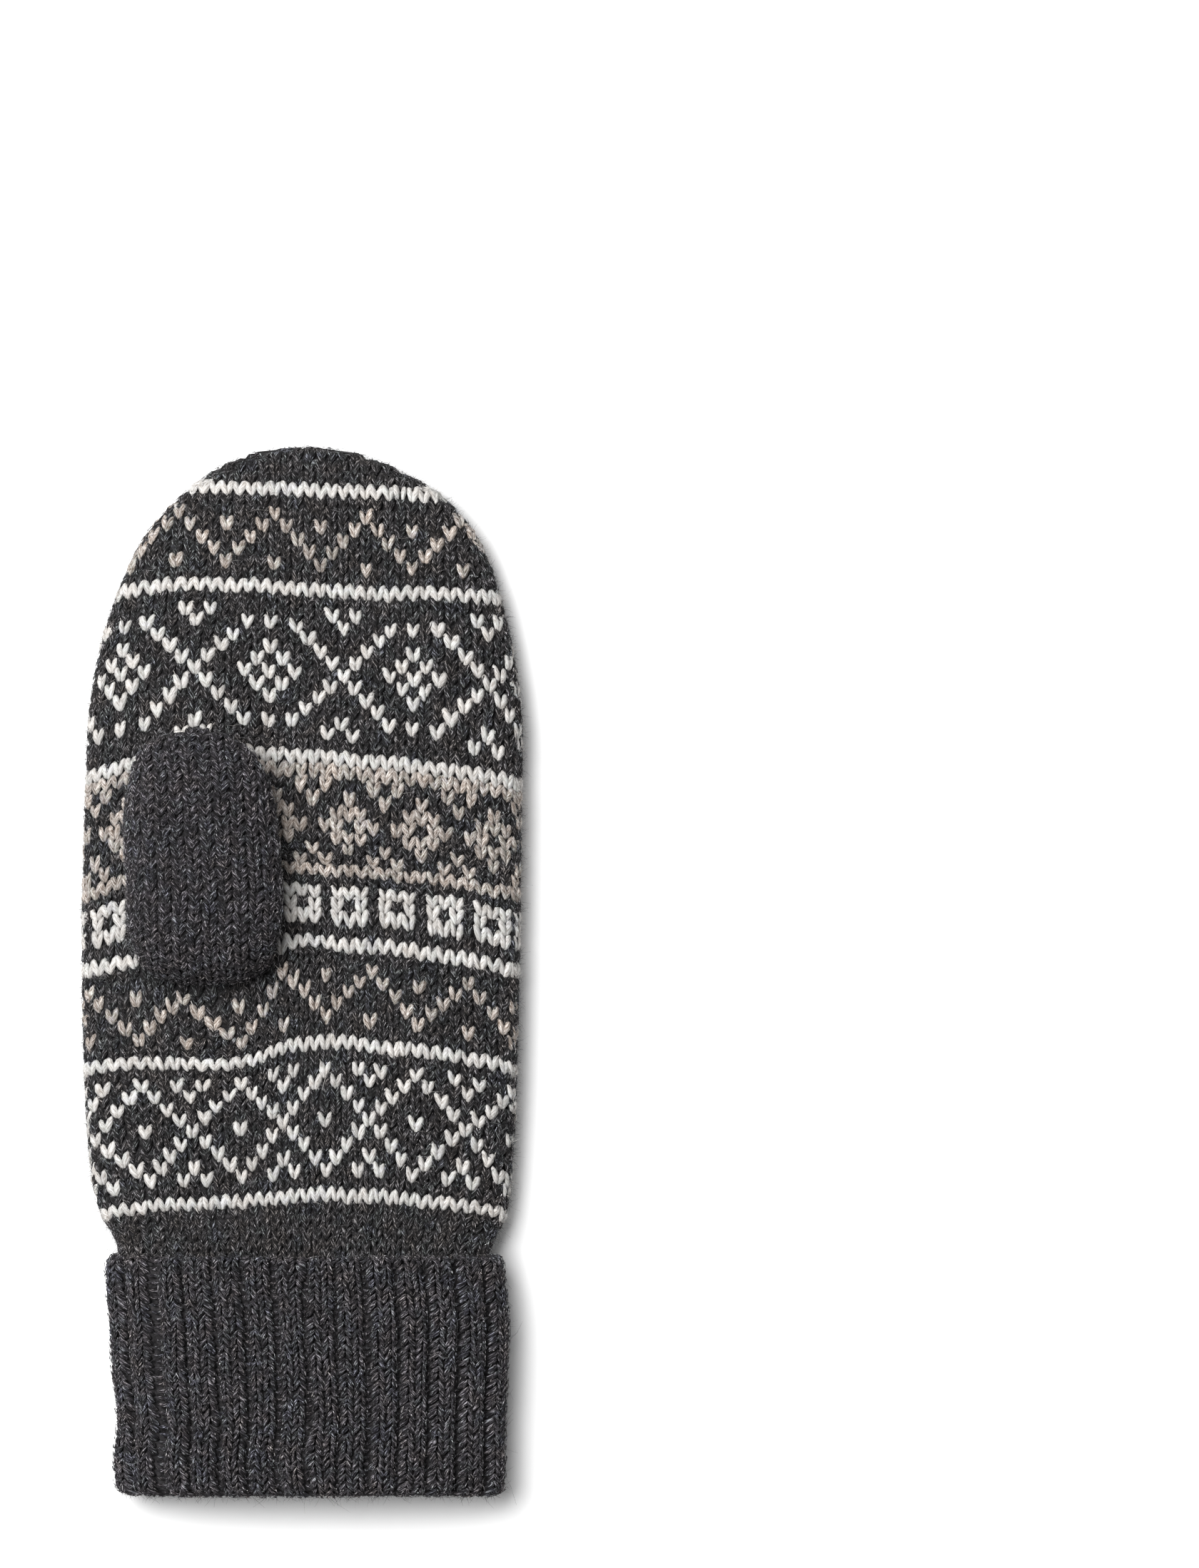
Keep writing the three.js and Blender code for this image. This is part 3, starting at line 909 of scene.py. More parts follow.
@dataclass(frozen=True)
class StitchShape:
    """One leg of a knitted stitch, as a slim leaf of yarn from the stitch's foot to its shoulder."""

    foot: float = -0.68
    shoulder: float = 0.66
    foot_across: float = 0.055
    shoulder_across: float = 0.4
    half_width: float = 0.28
    half_height: float = 0.58
    fullness: float = 0.96
    foot_plump: float = 0.86
    plumper: float = 0.28
    rise: float = 0.1
    foot_dip: float = 0.35
    shoulder_dip: float = 0.35
    along: float = 3.6
    round: float = 3.6
    sides: int = 5
    rings: int = 4

    def template(self) -> tuple[Array, Array, Array]:
        """Makes the leg.

        Returns:
            Its points as shares of a wale and a course and millimetres of height, its texture
            coordinates for each point in millimetres along and round the yarn, and its triangles.
        """
        ball, faces = coarse_ball(self.sides, self.rings)
        t = (ball[:, 2] + 1) / 2
        ring = np.maximum(np.hypot(ball[:, 0], ball[:, 1]), 1e-6)
        plump = (self.foot_plump + self.plumper * t) * ring ** (self.fullness - 1)
        lift = self.rise * np.sin(math.pi * t) - self.foot_dip * (1 - t) ** 3 - self.shoulder_dip * t**4
        across = self.foot_across + (self.shoulder_across - self.foot_across) * t
        points = np.stack(
            [
                across + ball[:, 0] * self.half_width * plump,
                self.foot + (self.shoulder - self.foot) * t,
                lift + ball[:, 1] * self.half_height * plump,
            ],
            axis=1,
        )
        round_yarn = np.arctan2(ball[:, 1], ball[:, 0]) / (2 * math.pi) * self.round
        return points, np.stack([t * self.along, round_yarn], axis=1), faces


@dataclass(frozen=True)
class PurlShape:
    """A purl bump: a short bar of yarn that lies across its wale."""

    half_width: float = 0.5
    half_course: float = 0.3
    half_height: float = 0.5
    bow: float = 0.18
    dip: float = 0.25
    along: float = 3.0
    round: float = 3.0
    sides: int = 5
    rings: int = 4

    def template(self) -> tuple[Array, Array, Array]:
        """Makes the bar, in the same form as a stitch's leg."""
        ball, faces = coarse_ball(self.sides, self.rings)
        points = np.stack(
            [
                ball[:, 2] * self.half_width,
                ball[:, 0] * self.half_course - self.bow * ball[:, 2] ** 2,
                ball[:, 1] * self.half_height - self.dip * ball[:, 2] ** 2,
            ],
            axis=1,
        )
        round_yarn = np.arctan2(ball[:, 1], ball[:, 0]) / (2 * math.pi) * self.round
        return points, np.stack([(ball[:, 2] + 1) * self.along / 2, round_yarn], axis=1), faces


@dataclass
class YarnMesh:
    """Collects pieces of yarn and joins them as one mesh."""

    name: str
    points: list[Array] = field(default_factory=list)
    faces: list[Array] = field(default_factory=list)
    coordinates: list[Array] = field(default_factory=list)
    tones: list[Array] = field(default_factory=list)
    count: int = 0

    def add(self, points: Array, faces: Array, coordinates: Array, tones: Array) -> None:
        """Adds many copies of one template.

        Args:
            points: millimetres, one row of points for each copy.
            faces: the template's triangles.
            coordinates: texture coordinates, one row for each copy.
            tones: one value from 0 to 1 for each copy.
        """
        copies, size = points.shape[:2]
        corners = points[0][faces] - points[0].mean(axis=0)
        if np.linalg.det(corners).sum() < 0:
            faces = faces[:, ::-1]
        offsets = self.count + np.arange(copies)[:, None, None] * size
        self.faces.append((faces[None] + offsets).reshape(-1, 3))
        self.points.append(points.reshape(-1, 3))
        self.coordinates.append(coordinates.reshape(-1, 2))
        self.tones.append(np.repeat(tones, size))
        self.count += copies * size

    def build(self, placing: Placing) -> bpy.types.Object | None:
        """Joins what was added as one Blender mesh, in metres.

        Args:
            placing: how millimetres of the form become metres of the part.

        Returns:
            The object, or None where nothing was added.
        """
        if not self.count:
            return None
        points = np.concatenate(self.points)
        low = points[:, 2] < SOLE
        points[low, 2] = SOLE * np.exp((points[low, 2] - SOLE) / SOLE)
        points = placing.metres(points)
        faces = np.concatenate(self.faces)
        coordinates = np.concatenate(self.coordinates)
        mesh = bpy.data.meshes.new(self.name)
        mesh.vertices.add(len(points))
        mesh.vertices.foreach_set("co", points.astype(np.float32).ravel())
        mesh.loops.add(len(faces) * 3)
        mesh.loops.foreach_set("vertex_index", faces.astype(np.int32).ravel())
        mesh.polygons.add(len(faces))
        mesh.polygons.foreach_set("loop_start", np.arange(0, len(faces) * 3, 3, dtype=np.int32))
        mesh.update(calc_edges=True)
        mesh.polygons.foreach_set("use_smooth", np.ones(len(faces), bool))
        uv = mesh.uv_layers.new(name="yarn")
        uv.data.foreach_set("uv", coordinates[faces.ravel()].astype(np.float32).ravel())
        tone = mesh.attributes.new("tone", "FLOAT", "POINT")
        tone.data.foreach_set("value", np.concatenate(self.tones).astype(np.float32))
        mesh.validate()
        return new_object(self.name, mesh)


@dataclass(frozen=True)
class Placing:
    """The part's frame against the form's own millimetres."""

    shift: tuple[float, float, float]

    def metres(self, points: Array) -> Array:
        """Millimetres of the form as metres of the part."""
        return (points + np.array(self.shift)) * MM


@dataclass
class Knitter:
    """Lays stitches on a knitted surface."""

    surface: KnitSurface
    seed: int
    shape: StitchShape = StitchShape()
    uneven_yarn: float = 0.08
    uneven_across: float = 0.04
    uneven_along: float = 0.06
    uneven_height: float = 0.06
    uneven_lean: float = 0.07
    texture_spread: float = 60.0

    def __post_init__(self) -> None:
        """Starts the knitter's own unevenness."""
        self.random = np.random.default_rng(self.seed)

    def drawn(self, spread: float, count: int) -> Array:
        """One chance amount for each stitch."""
        return self.random.normal(0, spread, (count, 1))

    def add(self, target: YarnMesh, placed: Array, faces: Array, uv: Array) -> None:
        """Adds placed yarn with a stretch of texture and a tone of its own."""
        count = len(placed)
        shifted = uv[None] + self.random.uniform(0, self.texture_spread, (count, 1, 2))
        target.add(placed, faces, shifted, self.random.uniform(0, 1, count))

    def knit(
        self, target: YarnMesh, wales: Array, courses: Array, size: float = 1.0, lift: float = 0.0
    ) -> None:
        """Knits stitches into a mesh.

        Args:
            target: the mesh that takes them.
            wales: the middle of each stitch.
            courses: the middle of each stitch.
            size: how full the yarn is.
            lift: how far the stitches stand proud, in millimetres.
        """
        if not len(wales):
            return
        points, uv, faces = self.shape.template()
        count = len(wales)
        for side in (1.0, -1.0):
            full = size * (1 + self.drawn(self.uneven_yarn, count))
            wide = points[None, :, 0] * full * side + self.drawn(self.uneven_across, count)
            high = points[None, :, 1] * (1 + (full - 1) / 2) + self.drawn(self.uneven_along, count)
            up = points[None, :, 2] * full + lift + self.drawn(self.uneven_height, count)
            lean = self.drawn(self.uneven_lean, count) * points[None, :, 1]
            placed = self.surface.place(wales[:, None] + wide + lean, courses[:, None] + high, up)
            self.add(target, placed, faces, uv)

    def purl(self, target: YarnMesh, wales: Array, courses: Array) -> None:
        """Lays purl bumps into a mesh."""
        points, uv, faces = PurlShape().template()
        count = len(wales)
        full = 1 + self.drawn(self.uneven_yarn, count)
        wide = points[None, :, 0] * full + self.drawn(self.uneven_across, count)
        high = points[None, :, 1] + self.drawn(self.uneven_along, count)
        up = points[None, :, 2] * full + self.drawn(self.uneven_yarn, count)
        placed = self.surface.place(wales[:, None] + wide, courses[:, None] + high, up)
        self.add(target, placed, faces, uv)


@dataclass(frozen=True)
class HairShape:
    """A fine hair of wool with a closed root and a pointed end."""

    radius: float = 0.1
    bends: int = 0
    long: float = 1.3
    root: float = 0.56
    stand: float = 0.1
    lean: float = 0.42
    stray: float = 0.16
    scatter: float = 0.06
    reach: float = 0.6
    leg_across: float = 0.235
    leg_slant: float = 0.25
    uneven_root: float = 0.05
    uneven_long: float = 0.35
    curl: float = 0.35
    droop: tuple[float, float] = (-0.25, 0.1)
    uneven_radius: tuple[float, float] = (0.55, 1.4)
    texture_spread: float = 40.0

    def template(self) -> tuple[Array, Array]:
        """Makes a straight hair along +Z, one millimetre long and one radius thick.

        Returns:
            Its points and its triangles.
        """
        bm = bmesh.new()
        bmesh.ops.create_cone(bm, cap_ends=True, segments=3, radius1=1.0, radius2=0.3, depth=1.0)
        bmesh.ops.translate(bm, verts=bm.verts, vec=Vector((0, 0, 0.5)))
        for n in range(self.bends):
            height = (n + 1) / (self.bends + 1)
            geometry = bm.verts[:] + bm.edges[:] + bm.faces[:]
            bmesh.ops.bisect_plane(bm, geom=geometry, plane_co=(0, 0, height), plane_no=(0, 0, 1))
        return mesh_arrays(bm)


SHORT_FIBRE = HairShape()
RIB_FIBRE = HairShape(radius=0.12, long=1.15, lean=0.55, stray=0.15, scatter=0.05)
LONG_HAIR = HairShape(
    radius=0.035, bends=1, long=2.5, root=0.6, stand=0.5, lean=0.0, stray=4.0, scatter=0.3
)
EDGE_HAIR = HairShape(
    radius=0.032, bends=1, long=1.4, root=0.6, stand=1.6, lean=0.0, stray=4.0, scatter=0.3
)


@dataclass
class Halo:
    """Loose fibres on the yarn and hairs that stand off it."""

    surface: KnitSurface
    seed: int
    shape: HairShape

    def grow(self, target: YarnMesh, stitches: Array, share: float) -> None:
        """Grows fibres into a mesh.

        Args:
            target: the mesh that takes them.
            stitches: the wale and course of each stitch.
            share: fibres for each stitch.
        """
        random = np.random.default_rng(self.seed)
        shape = self.shape
        count = int(len(stitches) * share)
        aside = random.normal(0, shape.scatter, count)
        up_leg = random.uniform(-shape.reach, shape.reach, count)
        leg = random.choice((-1.0, 1.0), count)
        offset = np.stack([leg * (shape.leg_across + shape.leg_slant * up_leg + aside), up_leg], axis=1)
        spots = stitches[random.integers(0, len(stitches), count)] + offset
        wales, courses = spots[:, 0], spots[:, 1]
        points, faces = shape.template()
        root = shape.root + random.normal(0, shape.uneven_root, count)
        base = self.surface.place(wales, courses, root)
        normal, across, along = (
            self.surface.read(grid, wales, courses)
            for grid in (self.surface.normals, self.surface.across, self.surface.along)
        )
        slant = np.sign(offset[:, :1]) * shape.lean + random.normal(0, shape.stray, (count, 1))
        flat = unit((along + across * slant) * random.choice((-1.0, 1.0), (count, 1)))
        direction = unit(flat + normal * np.abs(random.normal(0, shape.stand, (count, 1))))
        side = unit(np.cross(direction, normal))
        other = np.cross(side, direction)
        length = shape.long * np.exp(random.normal(0, shape.uneven_long, (count, 1)))
        curl = random.normal(0, shape.curl, (count, 1)) * length
        droop = random.uniform(*shape.droop, (count, 1)) * length * shape.bends
        radius = shape.radius * random.uniform(*shape.uneven_radius, (count, 1))
        z = points[None, :, 2]
        line = base[:, None] + direction[:, None] * ((z - 0.5 + 0.5 * shape.bends) * length)[..., None]
        line = line + side[:, None] * (curl * z**2 * shape.bends)[..., None]
        line = line + other[:, None] * (droop * z**2)[..., None]
        ring = side[:, None] * (points[None, :, 0] * radius)[..., None]
        ring = ring + other[:, None] * (points[None, :, 1] * radius)[..., None]
        uv = np.stack([np.broadcast_to(z, (count, len(points))), np.zeros((count, len(points)))], axis=2)
        uv = uv + random.uniform(0, shape.texture_spread, (count, 1, 2))
        target.add(line + ring, faces, uv, random.uniform(0, 1, count))


# ---------------------------------------------------------------- finishes


def new_material(name: str, roughness: float, specular: float) -> tuple[bpy.types.Material, bpy.types.Node]:
    """A material with nodes, and its shader."""
    mat = bpy.data.materials.new(name)
    mat.use_nodes = True
    shader = mat.node_tree.nodes["Principled BSDF"]
    shader.inputs["Roughness"].default_value = roughness
    shader.inputs["Specular IOR Level"].default_value = specular
    return mat, shader


def colour_ramp(
    tree: bpy.types.NodeTree, value: bpy.types.NodeSocket, stops: tuple[tuple[float, Colour], ...]
) -> bpy.types.NodeSocket:
    """Colours a value by stops that run from low to high."""
    node = tree.nodes.new("ShaderNodeValToRGB")
    elements = node.color_ramp.elements
    for element, (place, tint) in zip((elements[0], elements[1]), (stops[0], stops[-1])):
        element.position = place
        element.color = (*tint, 1)
    for place, tint in stops[1:-1]:
        elements.new(place).color = (*tint, 1)
    tree.links.new(value, node.inputs["Fac"])
    return node.outputs["Color"]


def add_bump(
    tree: bpy.types.NodeTree,
    height: bpy.types.NodeSocket,
    shader: bpy.types.Node,
    strength: float,
    distance: float,
) -> None:
    """Gives a shader a relief."""
    bump = tree.nodes.new("ShaderNodeBump")
    bump.inputs["Strength"].default_value = strength
    bump.inputs["Distance"].default_value = distance
    tree.links.new(height, bump.inputs["Height"])
    tree.links.new(bump.outputs["Normal"], shader.inputs["Normal"])


@dataclass(frozen=True)
class WoolFinish:
    """Heathered wool yarn: a colour, flecks of lighter and darker fibre, and a fibrous relief."""

    name: str
    deep: Colour
    body: Colour
    light: Colour
    fleck: Colour
    sheen: float = 0.1
    relief: float = 0.5
    tinted: float = 0.5
    uneven: float = 0.32
    streaks: float = 0.3
    tints: tuple[tuple[float, Colour], ...] = (
        (0.34, (1.12, 0.97, 0.86)),
        (0.45, (1.04, 0.99, 0.98)),
        (0.52, (1.0, 0.97, 1.02)),
        (0.59, (0.88, 1.05, 0.98)),
        (0.66, (0.88, 0.98, 1.22)),
    )

    def material(self) -> bpy.types.Material:
        """The yarn's material."""
        mat, shader = new_material(self.name, 0.92, 0.18)
        tree = mat.node_tree
        nodes, links = tree.nodes, tree.links
        shader.inputs["Sheen Weight"].default_value = self.sheen
        shader.inputs["Sheen Roughness"].default_value = 0.6
        coordinates = nodes.new("ShaderNodeUVMap")
        coordinates.uv_map = "yarn"
        twist = nodes.new("ShaderNodeMapping")
        twist.inputs["Rotation"].default_value = (0.0, 0.0, math.radians(18))
        links.new(coordinates.outputs["UV"], twist.inputs["Vector"])
        strands = self.noise(tree, twist.outputs["Vector"], (0.75, 3.4, 1.0), 1.0, 2.0)
        fibres = self.noise(tree, twist.outputs["Vector"], (1.5, 8.0, 1.0), 1.0, 2.0)
        mottle = nodes.new("ShaderNodeMix")
        mottle.data_type = "FLOAT"
        mottle.inputs["Factor"].default_value = self.streaks
        links.new(strands, mottle.inputs["A"])
        links.new(fibres, mottle.inputs["B"])
        stops = ((0.4, self.deep), (0.48, self.body), (0.555, self.light), (0.63, self.fleck))
        heather = colour_ramp(tree, mottle.outputs["Result"], stops)
        tone = nodes.new("ShaderNodeAttribute")
        tone.attribute_name = "tone"
        spread = nodes.new("ShaderNodeMapRange")
        spread.inputs["To Min"].default_value = 1.0 - self.uneven
        spread.inputs["To Max"].default_value = 1.0 + self.uneven
        links.new(tone.outputs["Fac"], spread.inputs["Value"])
        shade = nodes.new("ShaderNodeHueSaturation")
        links.new(spread.outputs["Result"], shade.inputs["Value"])
        links.new(heather, shade.inputs["Color"])
        links.new(self.dyed(tree, shade.outputs["Color"]), shader.inputs["Base Color"])
        add_bump(tree, mottle.outputs["Result"], shader, self.relief, 0.25 * MM)
        return mat

    def dyed(self, tree: bpy.types.NodeTree, colour: bpy.types.NodeSocket) -> bpy.types.NodeSocket:
        """Tints the yarn a little here and there, as a blend of dyed fibres is.

        Args:
            tree: the material's nodes.
            colour: the yarn's colour so far.

        Returns:
            The tinted colour.
        """
        if not self.tinted:
            return colour
        place = tree.nodes.new("ShaderNodeTexCoord")
        blend = self.noise(tree, place.outputs["Object"], (1.0, 1.0, 1.0), 210.0, 2.0)
        tints = colour_ramp(tree, blend, self.tints)
        mix = tree.nodes.new("ShaderNodeMix")
        mix.data_type = "RGBA"
        mix.blend_type = "MULTIPLY"
        mix.inputs["Factor"].default_value = self.tinted
        tree.links.new(colour, mix.inputs["A"])
        tree.links.new(tints, mix.inputs["B"])
        return mix.outputs["Result"]

    @staticmethod
    def noise(
        tree: bpy.types.NodeTree,
        vector: bpy.types.NodeSocket,
        stretch: tuple[float, float, float],
        scale: float,
        detail: float,
    ) -> bpy.types.NodeSocket:
        """Adds a stretched noise and returns its value."""
        mapping = tree.nodes.new("ShaderNodeMapping")
        mapping.inputs["Scale"].default_value = stretch
        tree.links.new(vector, mapping.inputs["Vector"])
        noise = tree.nodes.new("ShaderNodeTexNoise")
        noise.inputs["Scale"].default_value = scale
        noise.inputs["Detail"].default_value = detail
        tree.links.new(mapping.outputs["Vector"], noise.inputs["Vector"])
        return noise.outputs["Fac"]


@dataclass(frozen=True)
class BackingFinish:
    """The dark inside of the knitting, seen between stitches and in the hollows."""

    name: str
    deep: Colour
    body: Colour
    stitch: float = 2.9
    bands_for_scale_one: float = 3.15

    def material(self) -> bpy.types.Material:
        """The backing's material: small knitted bumps with heathered wool."""
        mat, shader = new_material(self.name, 0.95, 0.1)
        tree = mat.node_tree
        nodes, links = tree.nodes, tree.links
        place = nodes.new("ShaderNodeTexCoord")
        wool = WoolFinish.noise(tree, place.outputs["Object"], (1.0, 1.0, 1.0), 900.0, 4.0)
        colour = colour_ramp(tree, wool, ((0.35, self.deep), (0.7, self.body)))
        links.new(colour, shader.inputs["Base Color"])
        rows = nodes.new("ShaderNodeTexWave")
        rows.bands_direction = "Y"
        rows.inputs["Scale"].default_value = 1 / (self.stitch * MM) / self.bands_for_scale_one
        rows.inputs["Distortion"].default_value = 3.0
        rows.inputs["Detail"].default_value = 2.0
        rows.inputs["Detail Scale"].default_value = 3.0
        links.new(place.outputs["Object"], rows.inputs["Vector"])
        add_bump(tree, rows.outputs["Fac"], shader, 0.8, 0.6 * MM)
        return mat


@dataclass(frozen=True)
class Finishes:
    """All the wools of the mitten."""

    charcoal: WoolFinish = WoolFinish(
        "charcoal_wool",
        deep=(0.003, 0.0028, 0.003),
        body=(0.0074, 0.007, 0.0072),
        light=(0.034, 0.032, 0.033),
        fleck=(0.26, 0.255, 0.26),
        sheen=0.03,
    )
    plain_charcoal: WoolFinish = WoolFinish(
        "plain_charcoal_wool",
        deep=(0.003, 0.0028, 0.0033),
        body=(0.0078, 0.007, 0.0083),
        light=(0.035, 0.032, 0.037),
        fleck=(0.26, 0.25, 0.27),
        sheen=0.03,
        tinted=0.4,
    )
    ribbed_charcoal: WoolFinish = WoolFinish(
        "ribbed_charcoal_wool",
        deep=(0.0035, 0.0032, 0.0038),
        body=(0.0095, 0.0085, 0.0101),
        light=(0.05, 0.046, 0.0525),
        fleck=(0.34, 0.33, 0.35),
        sheen=0.03,
        tinted=0.45,
    )
    white: WoolFinish = WoolFinish(
        "off_white_wool",
        deep=(0.27, 0.25, 0.23),
        body=(0.47, 0.455, 0.435),
        light=(0.57, 0.56, 0.545),
        fleck=(0.64, 0.635, 0.62),
        sheen=0.06,
        tinted=0.15,
        uneven=0.14,
        streaks=0.45,
    )
    beige: WoolFinish = WoolFinish(
        "beige_wool",
        deep=(0.085, 0.062, 0.046),
        body=(0.27, 0.232, 0.205),
        light=(0.45, 0.415, 0.385),
        fleck=(0.66, 0.64, 0.61),
        sheen=0.06,
        tinted=0.25,
        uneven=0.25,
        streaks=0.5,
    )
    charcoal_hair: WoolFinish = WoolFinish(
        "charcoal_hair",
        deep=(0.0085, 0.008, 0.0088),
        body=(0.03, 0.0285, 0.0305),
        light=(0.14, 0.136, 0.142),
        fleck=(0.58, 0.57, 0.585),
        sheen=0.03,
        relief=0.0,
    )
    light_hair: WoolFinish = WoolFinish(
        "light_hair",
        deep=(0.4, 0.37, 0.34),
        body=(0.52, 0.49, 0.46),
        light=(0.64, 0.61, 0.58),
        fleck=(0.72, 0.7, 0.68),
        relief=0.0,
        tinted=0.0,
        uneven=0.1,
    )
    backing: BackingFinish = BackingFinish("backing_wool", (0.008, 0.0075, 0.008), (0.04, 0.038, 0.04))


# ---------------------------------------------------------------- the mitten's pieces


YARN_SIZE_AND_LIFT = {Yarn.CHARCOAL: (1.0, 0.0), Yarn.WHITE: (1.13, 0.14), Yarn.BEIGE: (1.06, 0.14)}


@dataclass
class Piece:
    """What every sub-assembly of the mitten shares."""

    node: str
    slot: str
    placing: Placing
    finishes: Finishes
    inset: float = field(default=0.55, kw_only=True)
    long_hairs: float = field(default=0.1, kw_only=True)
    edge_hairs: float = field(default=8.0, kw_only=True)
    edge_band: float = field(default=2.5, kw_only=True)

    def backing(self) -> None:
        """Makes the body under the stitches: the node's own form with its faces drawn in."""
        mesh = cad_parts[self.node].data.copy()
        mesh.name = f"{self.node}_backing"
        mesh.materials.clear()
        bm = bmesh.new()
        bm.from_mesh(mesh)
        bmesh.ops.remove_doubles(bm, verts=bm.verts, dist=WELD)
        bm.normal_update()
        for vert in bm.verts:
            vert.co -= vert.normal * self.inset * MM
        bm.to_mesh(mesh)
        bm.free()
        mesh.polygons.foreach_set("use_smooth", np.ones(len(mesh.polygons), bool))
        piece = new_object(f"{self.node}_backing", mesh)
        self.dress(piece, self.finishes.backing.material())
        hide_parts(self.node)

    def fibres(
        self,
        target: YarnMesh,
        surface: KnitSurface,
        stitches: Array,
        share: float,
        seed: int,
        short: HairShape = SHORT_FIBRE,
    ) -> None:
        """Grows short fibres that lie on the stitches, and a few long hairs that stand off them.

        Args:
            target: the mesh that takes them.
            surface: the knitted surface.
            stitches: the wale and course of each stitch.
            share: short fibres for each stitch.
            seed: the start of their unevenness.
            short: the short fibres' form.
        """
        Halo(surface, seed, short).grow(target, stitches, share)
        Halo(surface, seed + 1, LONG_HAIR).grow(target, stitches, self.long_hairs * share)
        edge = stitches[surface.beyond(stitches[:, 0], stitches[:, 1]) > -self.edge_band]
        if len(edge):
            Halo(surface, seed + 2, EDGE_HAIR).grow(target, edge, self.edge_hairs)

    def dress(self, piece: bpy.types.Object | None, material: bpy.types.Material) -> None:
        """Gives a piece its material and its body."""
        if piece is None:
            return
        piece.data.materials.append(material)
        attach(piece, "root")
        LOG.info("%s: %d triangles", piece.name, len(piece.data.polygons))


@dataclass
class Hand(Piece):
    """The patterned hand."""

    knit: HandKnit = HandKnit()
    pattern: Pattern = Pattern()
    thumb: ThumbForm = ThumbForm()
    first_course: int = -7
    last_course: int = 60
    past_fold: float = 2.2
    under_side: float = 7.0
    under_start: float = 5.0
    under_end: float = 7.0
    dark_fibres: float = 5.5
    light_fibres: float = 2.0
    back_share: float = 0.5

    def under_thumb(self, x: Array, y: Array) -> Array:
        """Whether a place on the palm is hidden under the thumb."""
        start, end = self.thumb.start, self.thumb.start + self.thumb.length
        at = np.clip((y - start) / self.thumb.length, 0, 1)
        half, middle = self.thumb.width / 2, -self.thumb.offset
        left = middle - self.thumb.outline.value("left", at) * half + self.under_side
        right = middle + self.thumb.outline.value("right", at) * half - self.under_side
        return (x > left) & (x < right) & (y > start + self.under_start) & (y < end - self.under_end)

    def build(self) -> None:
        """Knits the palm and the back."""
        self.backing()
        wools = {
            Yarn.CHARCOAL: self.finishes.charcoal.material(),
            Yarn.WHITE: self.finishes.white.material(),
            Yarn.BEIGE: self.finishes.beige.material(),
        }
        faces = {"palm": True, "back": False}
        hairs = {Yarn.CHARCOAL: YarnMesh("hand_charcoal_hairs"), Yarn.WHITE: YarnMesh("hand_light_hairs")}
        for name, palm in faces.items():
            surface = self.knit.surface(palm)
            stitches = self.stitches(surface, palm)
            knitter = Knitter(surface, Seed.PALM if palm else Seed.BACK)
            for yarn in Yarn:
                chosen = np.array([(w, c) for w, c, y in stitches if y is yarn]).reshape(-1, 2)
                mesh = YarnMesh(f"{name}_{yarn.value}_stitches")
                knitter.knit(mesh, chosen[:, 0], chosen[:, 1], *YARN_SIZE_AND_LIFT[yarn])
                self.dress(mesh.build(self.placing), wools[yarn])
                self.fuzz(hairs, surface, chosen, yarn, palm)
        self.dress(hairs[Yarn.CHARCOAL].build(self.placing), self.finishes.charcoal_hair.material())
        self.dress(hairs[Yarn.WHITE].build(self.placing), self.finishes.light_hair.material())

    def stitches(self, surface: KnitSurface, palm: bool) -> list[tuple[float, float, Yarn]]:
        """The wale, course and yarn of each stitch of a face."""
        half = self.knit.half_wales
        found = []
        wales = np.arange(-half - 2, half + 2) + 0.5
        for course in range(self.first_course, self.last_course + 1):
            row = np.full(len(wales), float(course))
            past = surface.beyond(wales, row)
            place = surface.place(wales, row, np.zeros(len(wales)))
            hidden = self.under_thumb(place[:, 0], place[:, 1]) if palm else np.zeros(len(wales), bool)
            for wale, over, gone in zip(wales, past, hidden):
                if over > self.past_fold or gone:
                    continue
                index = math.floor(wale) if palm else 2 * half - 1 - math.floor(wale)
                found.append((float(wale), float(course), self.pattern.yarn(index, course)))
        return found

    def fuzz(
        self, hairs: dict[Yarn, YarnMesh], surface: KnitSurface, chosen: Array, yarn: Yarn, palm: bool
    ) -> None:
        """Grows loose fibres on the stitches of one yarn."""
        if not len(chosen):
            return
        dark = yarn is Yarn.CHARCOAL
        target = hairs[Yarn.CHARCOAL if dark else Yarn.WHITE]
        share = (self.dark_fibres if dark else self.light_fibres) * (1.0 if palm else self.back_share)
        self.fibres(target, surface, chosen, share, Seed.PALM_HAIRS if palm else Seed.BACK_HAIRS)


@dataclass
class Thumb(Piece):
    """The plain thumb on the palm."""

    knit: ThumbKnit = ThumbKnit()
    first_course: float = 0.3
    last_wale: int = 10
    past_fold: float = 9.0
    past_fold_at_tip: float = 1.5
    tip_courses: int = 6
    fibres_each: float = 7.0

    def build(self) -> None:
        """Knits the thumb."""
        self.backing()
        surface = self.knit.surface()
        mesh = YarnMesh("thumb_stitches")
        last = surface.courses[-1]
        courses, wales = np.meshgrid(
            np.arange(self.first_course, last, 1.0),
            np.arange(-self.last_wale, self.last_wale) + 0.5,
            indexing="ij",
        )
        stitches = np.stack([wales.ravel(), courses.ravel()], axis=1)
        past = surface.beyond(stitches[:, 0], stitches[:, 1])
        on_tip = stitches[:, 1] >= last - self.tip_courses
        stitches = stitches[past < np.where(on_tip, self.past_fold_at_tip, self.past_fold)]
        Knitter(surface, Seed.THUMB).knit(mesh, stitches[:, 0], stitches[:, 1])
        self.dress(mesh.build(self.placing), self.finishes.plain_charcoal.material())
        hairs = YarnMesh("thumb_hairs")
        self.fibres(hairs, surface, stitches, self.fibres_each, Seed.THUMB_HAIRS)
        self.dress(hairs.build(self.placing), self.finishes.charcoal_hair.material())


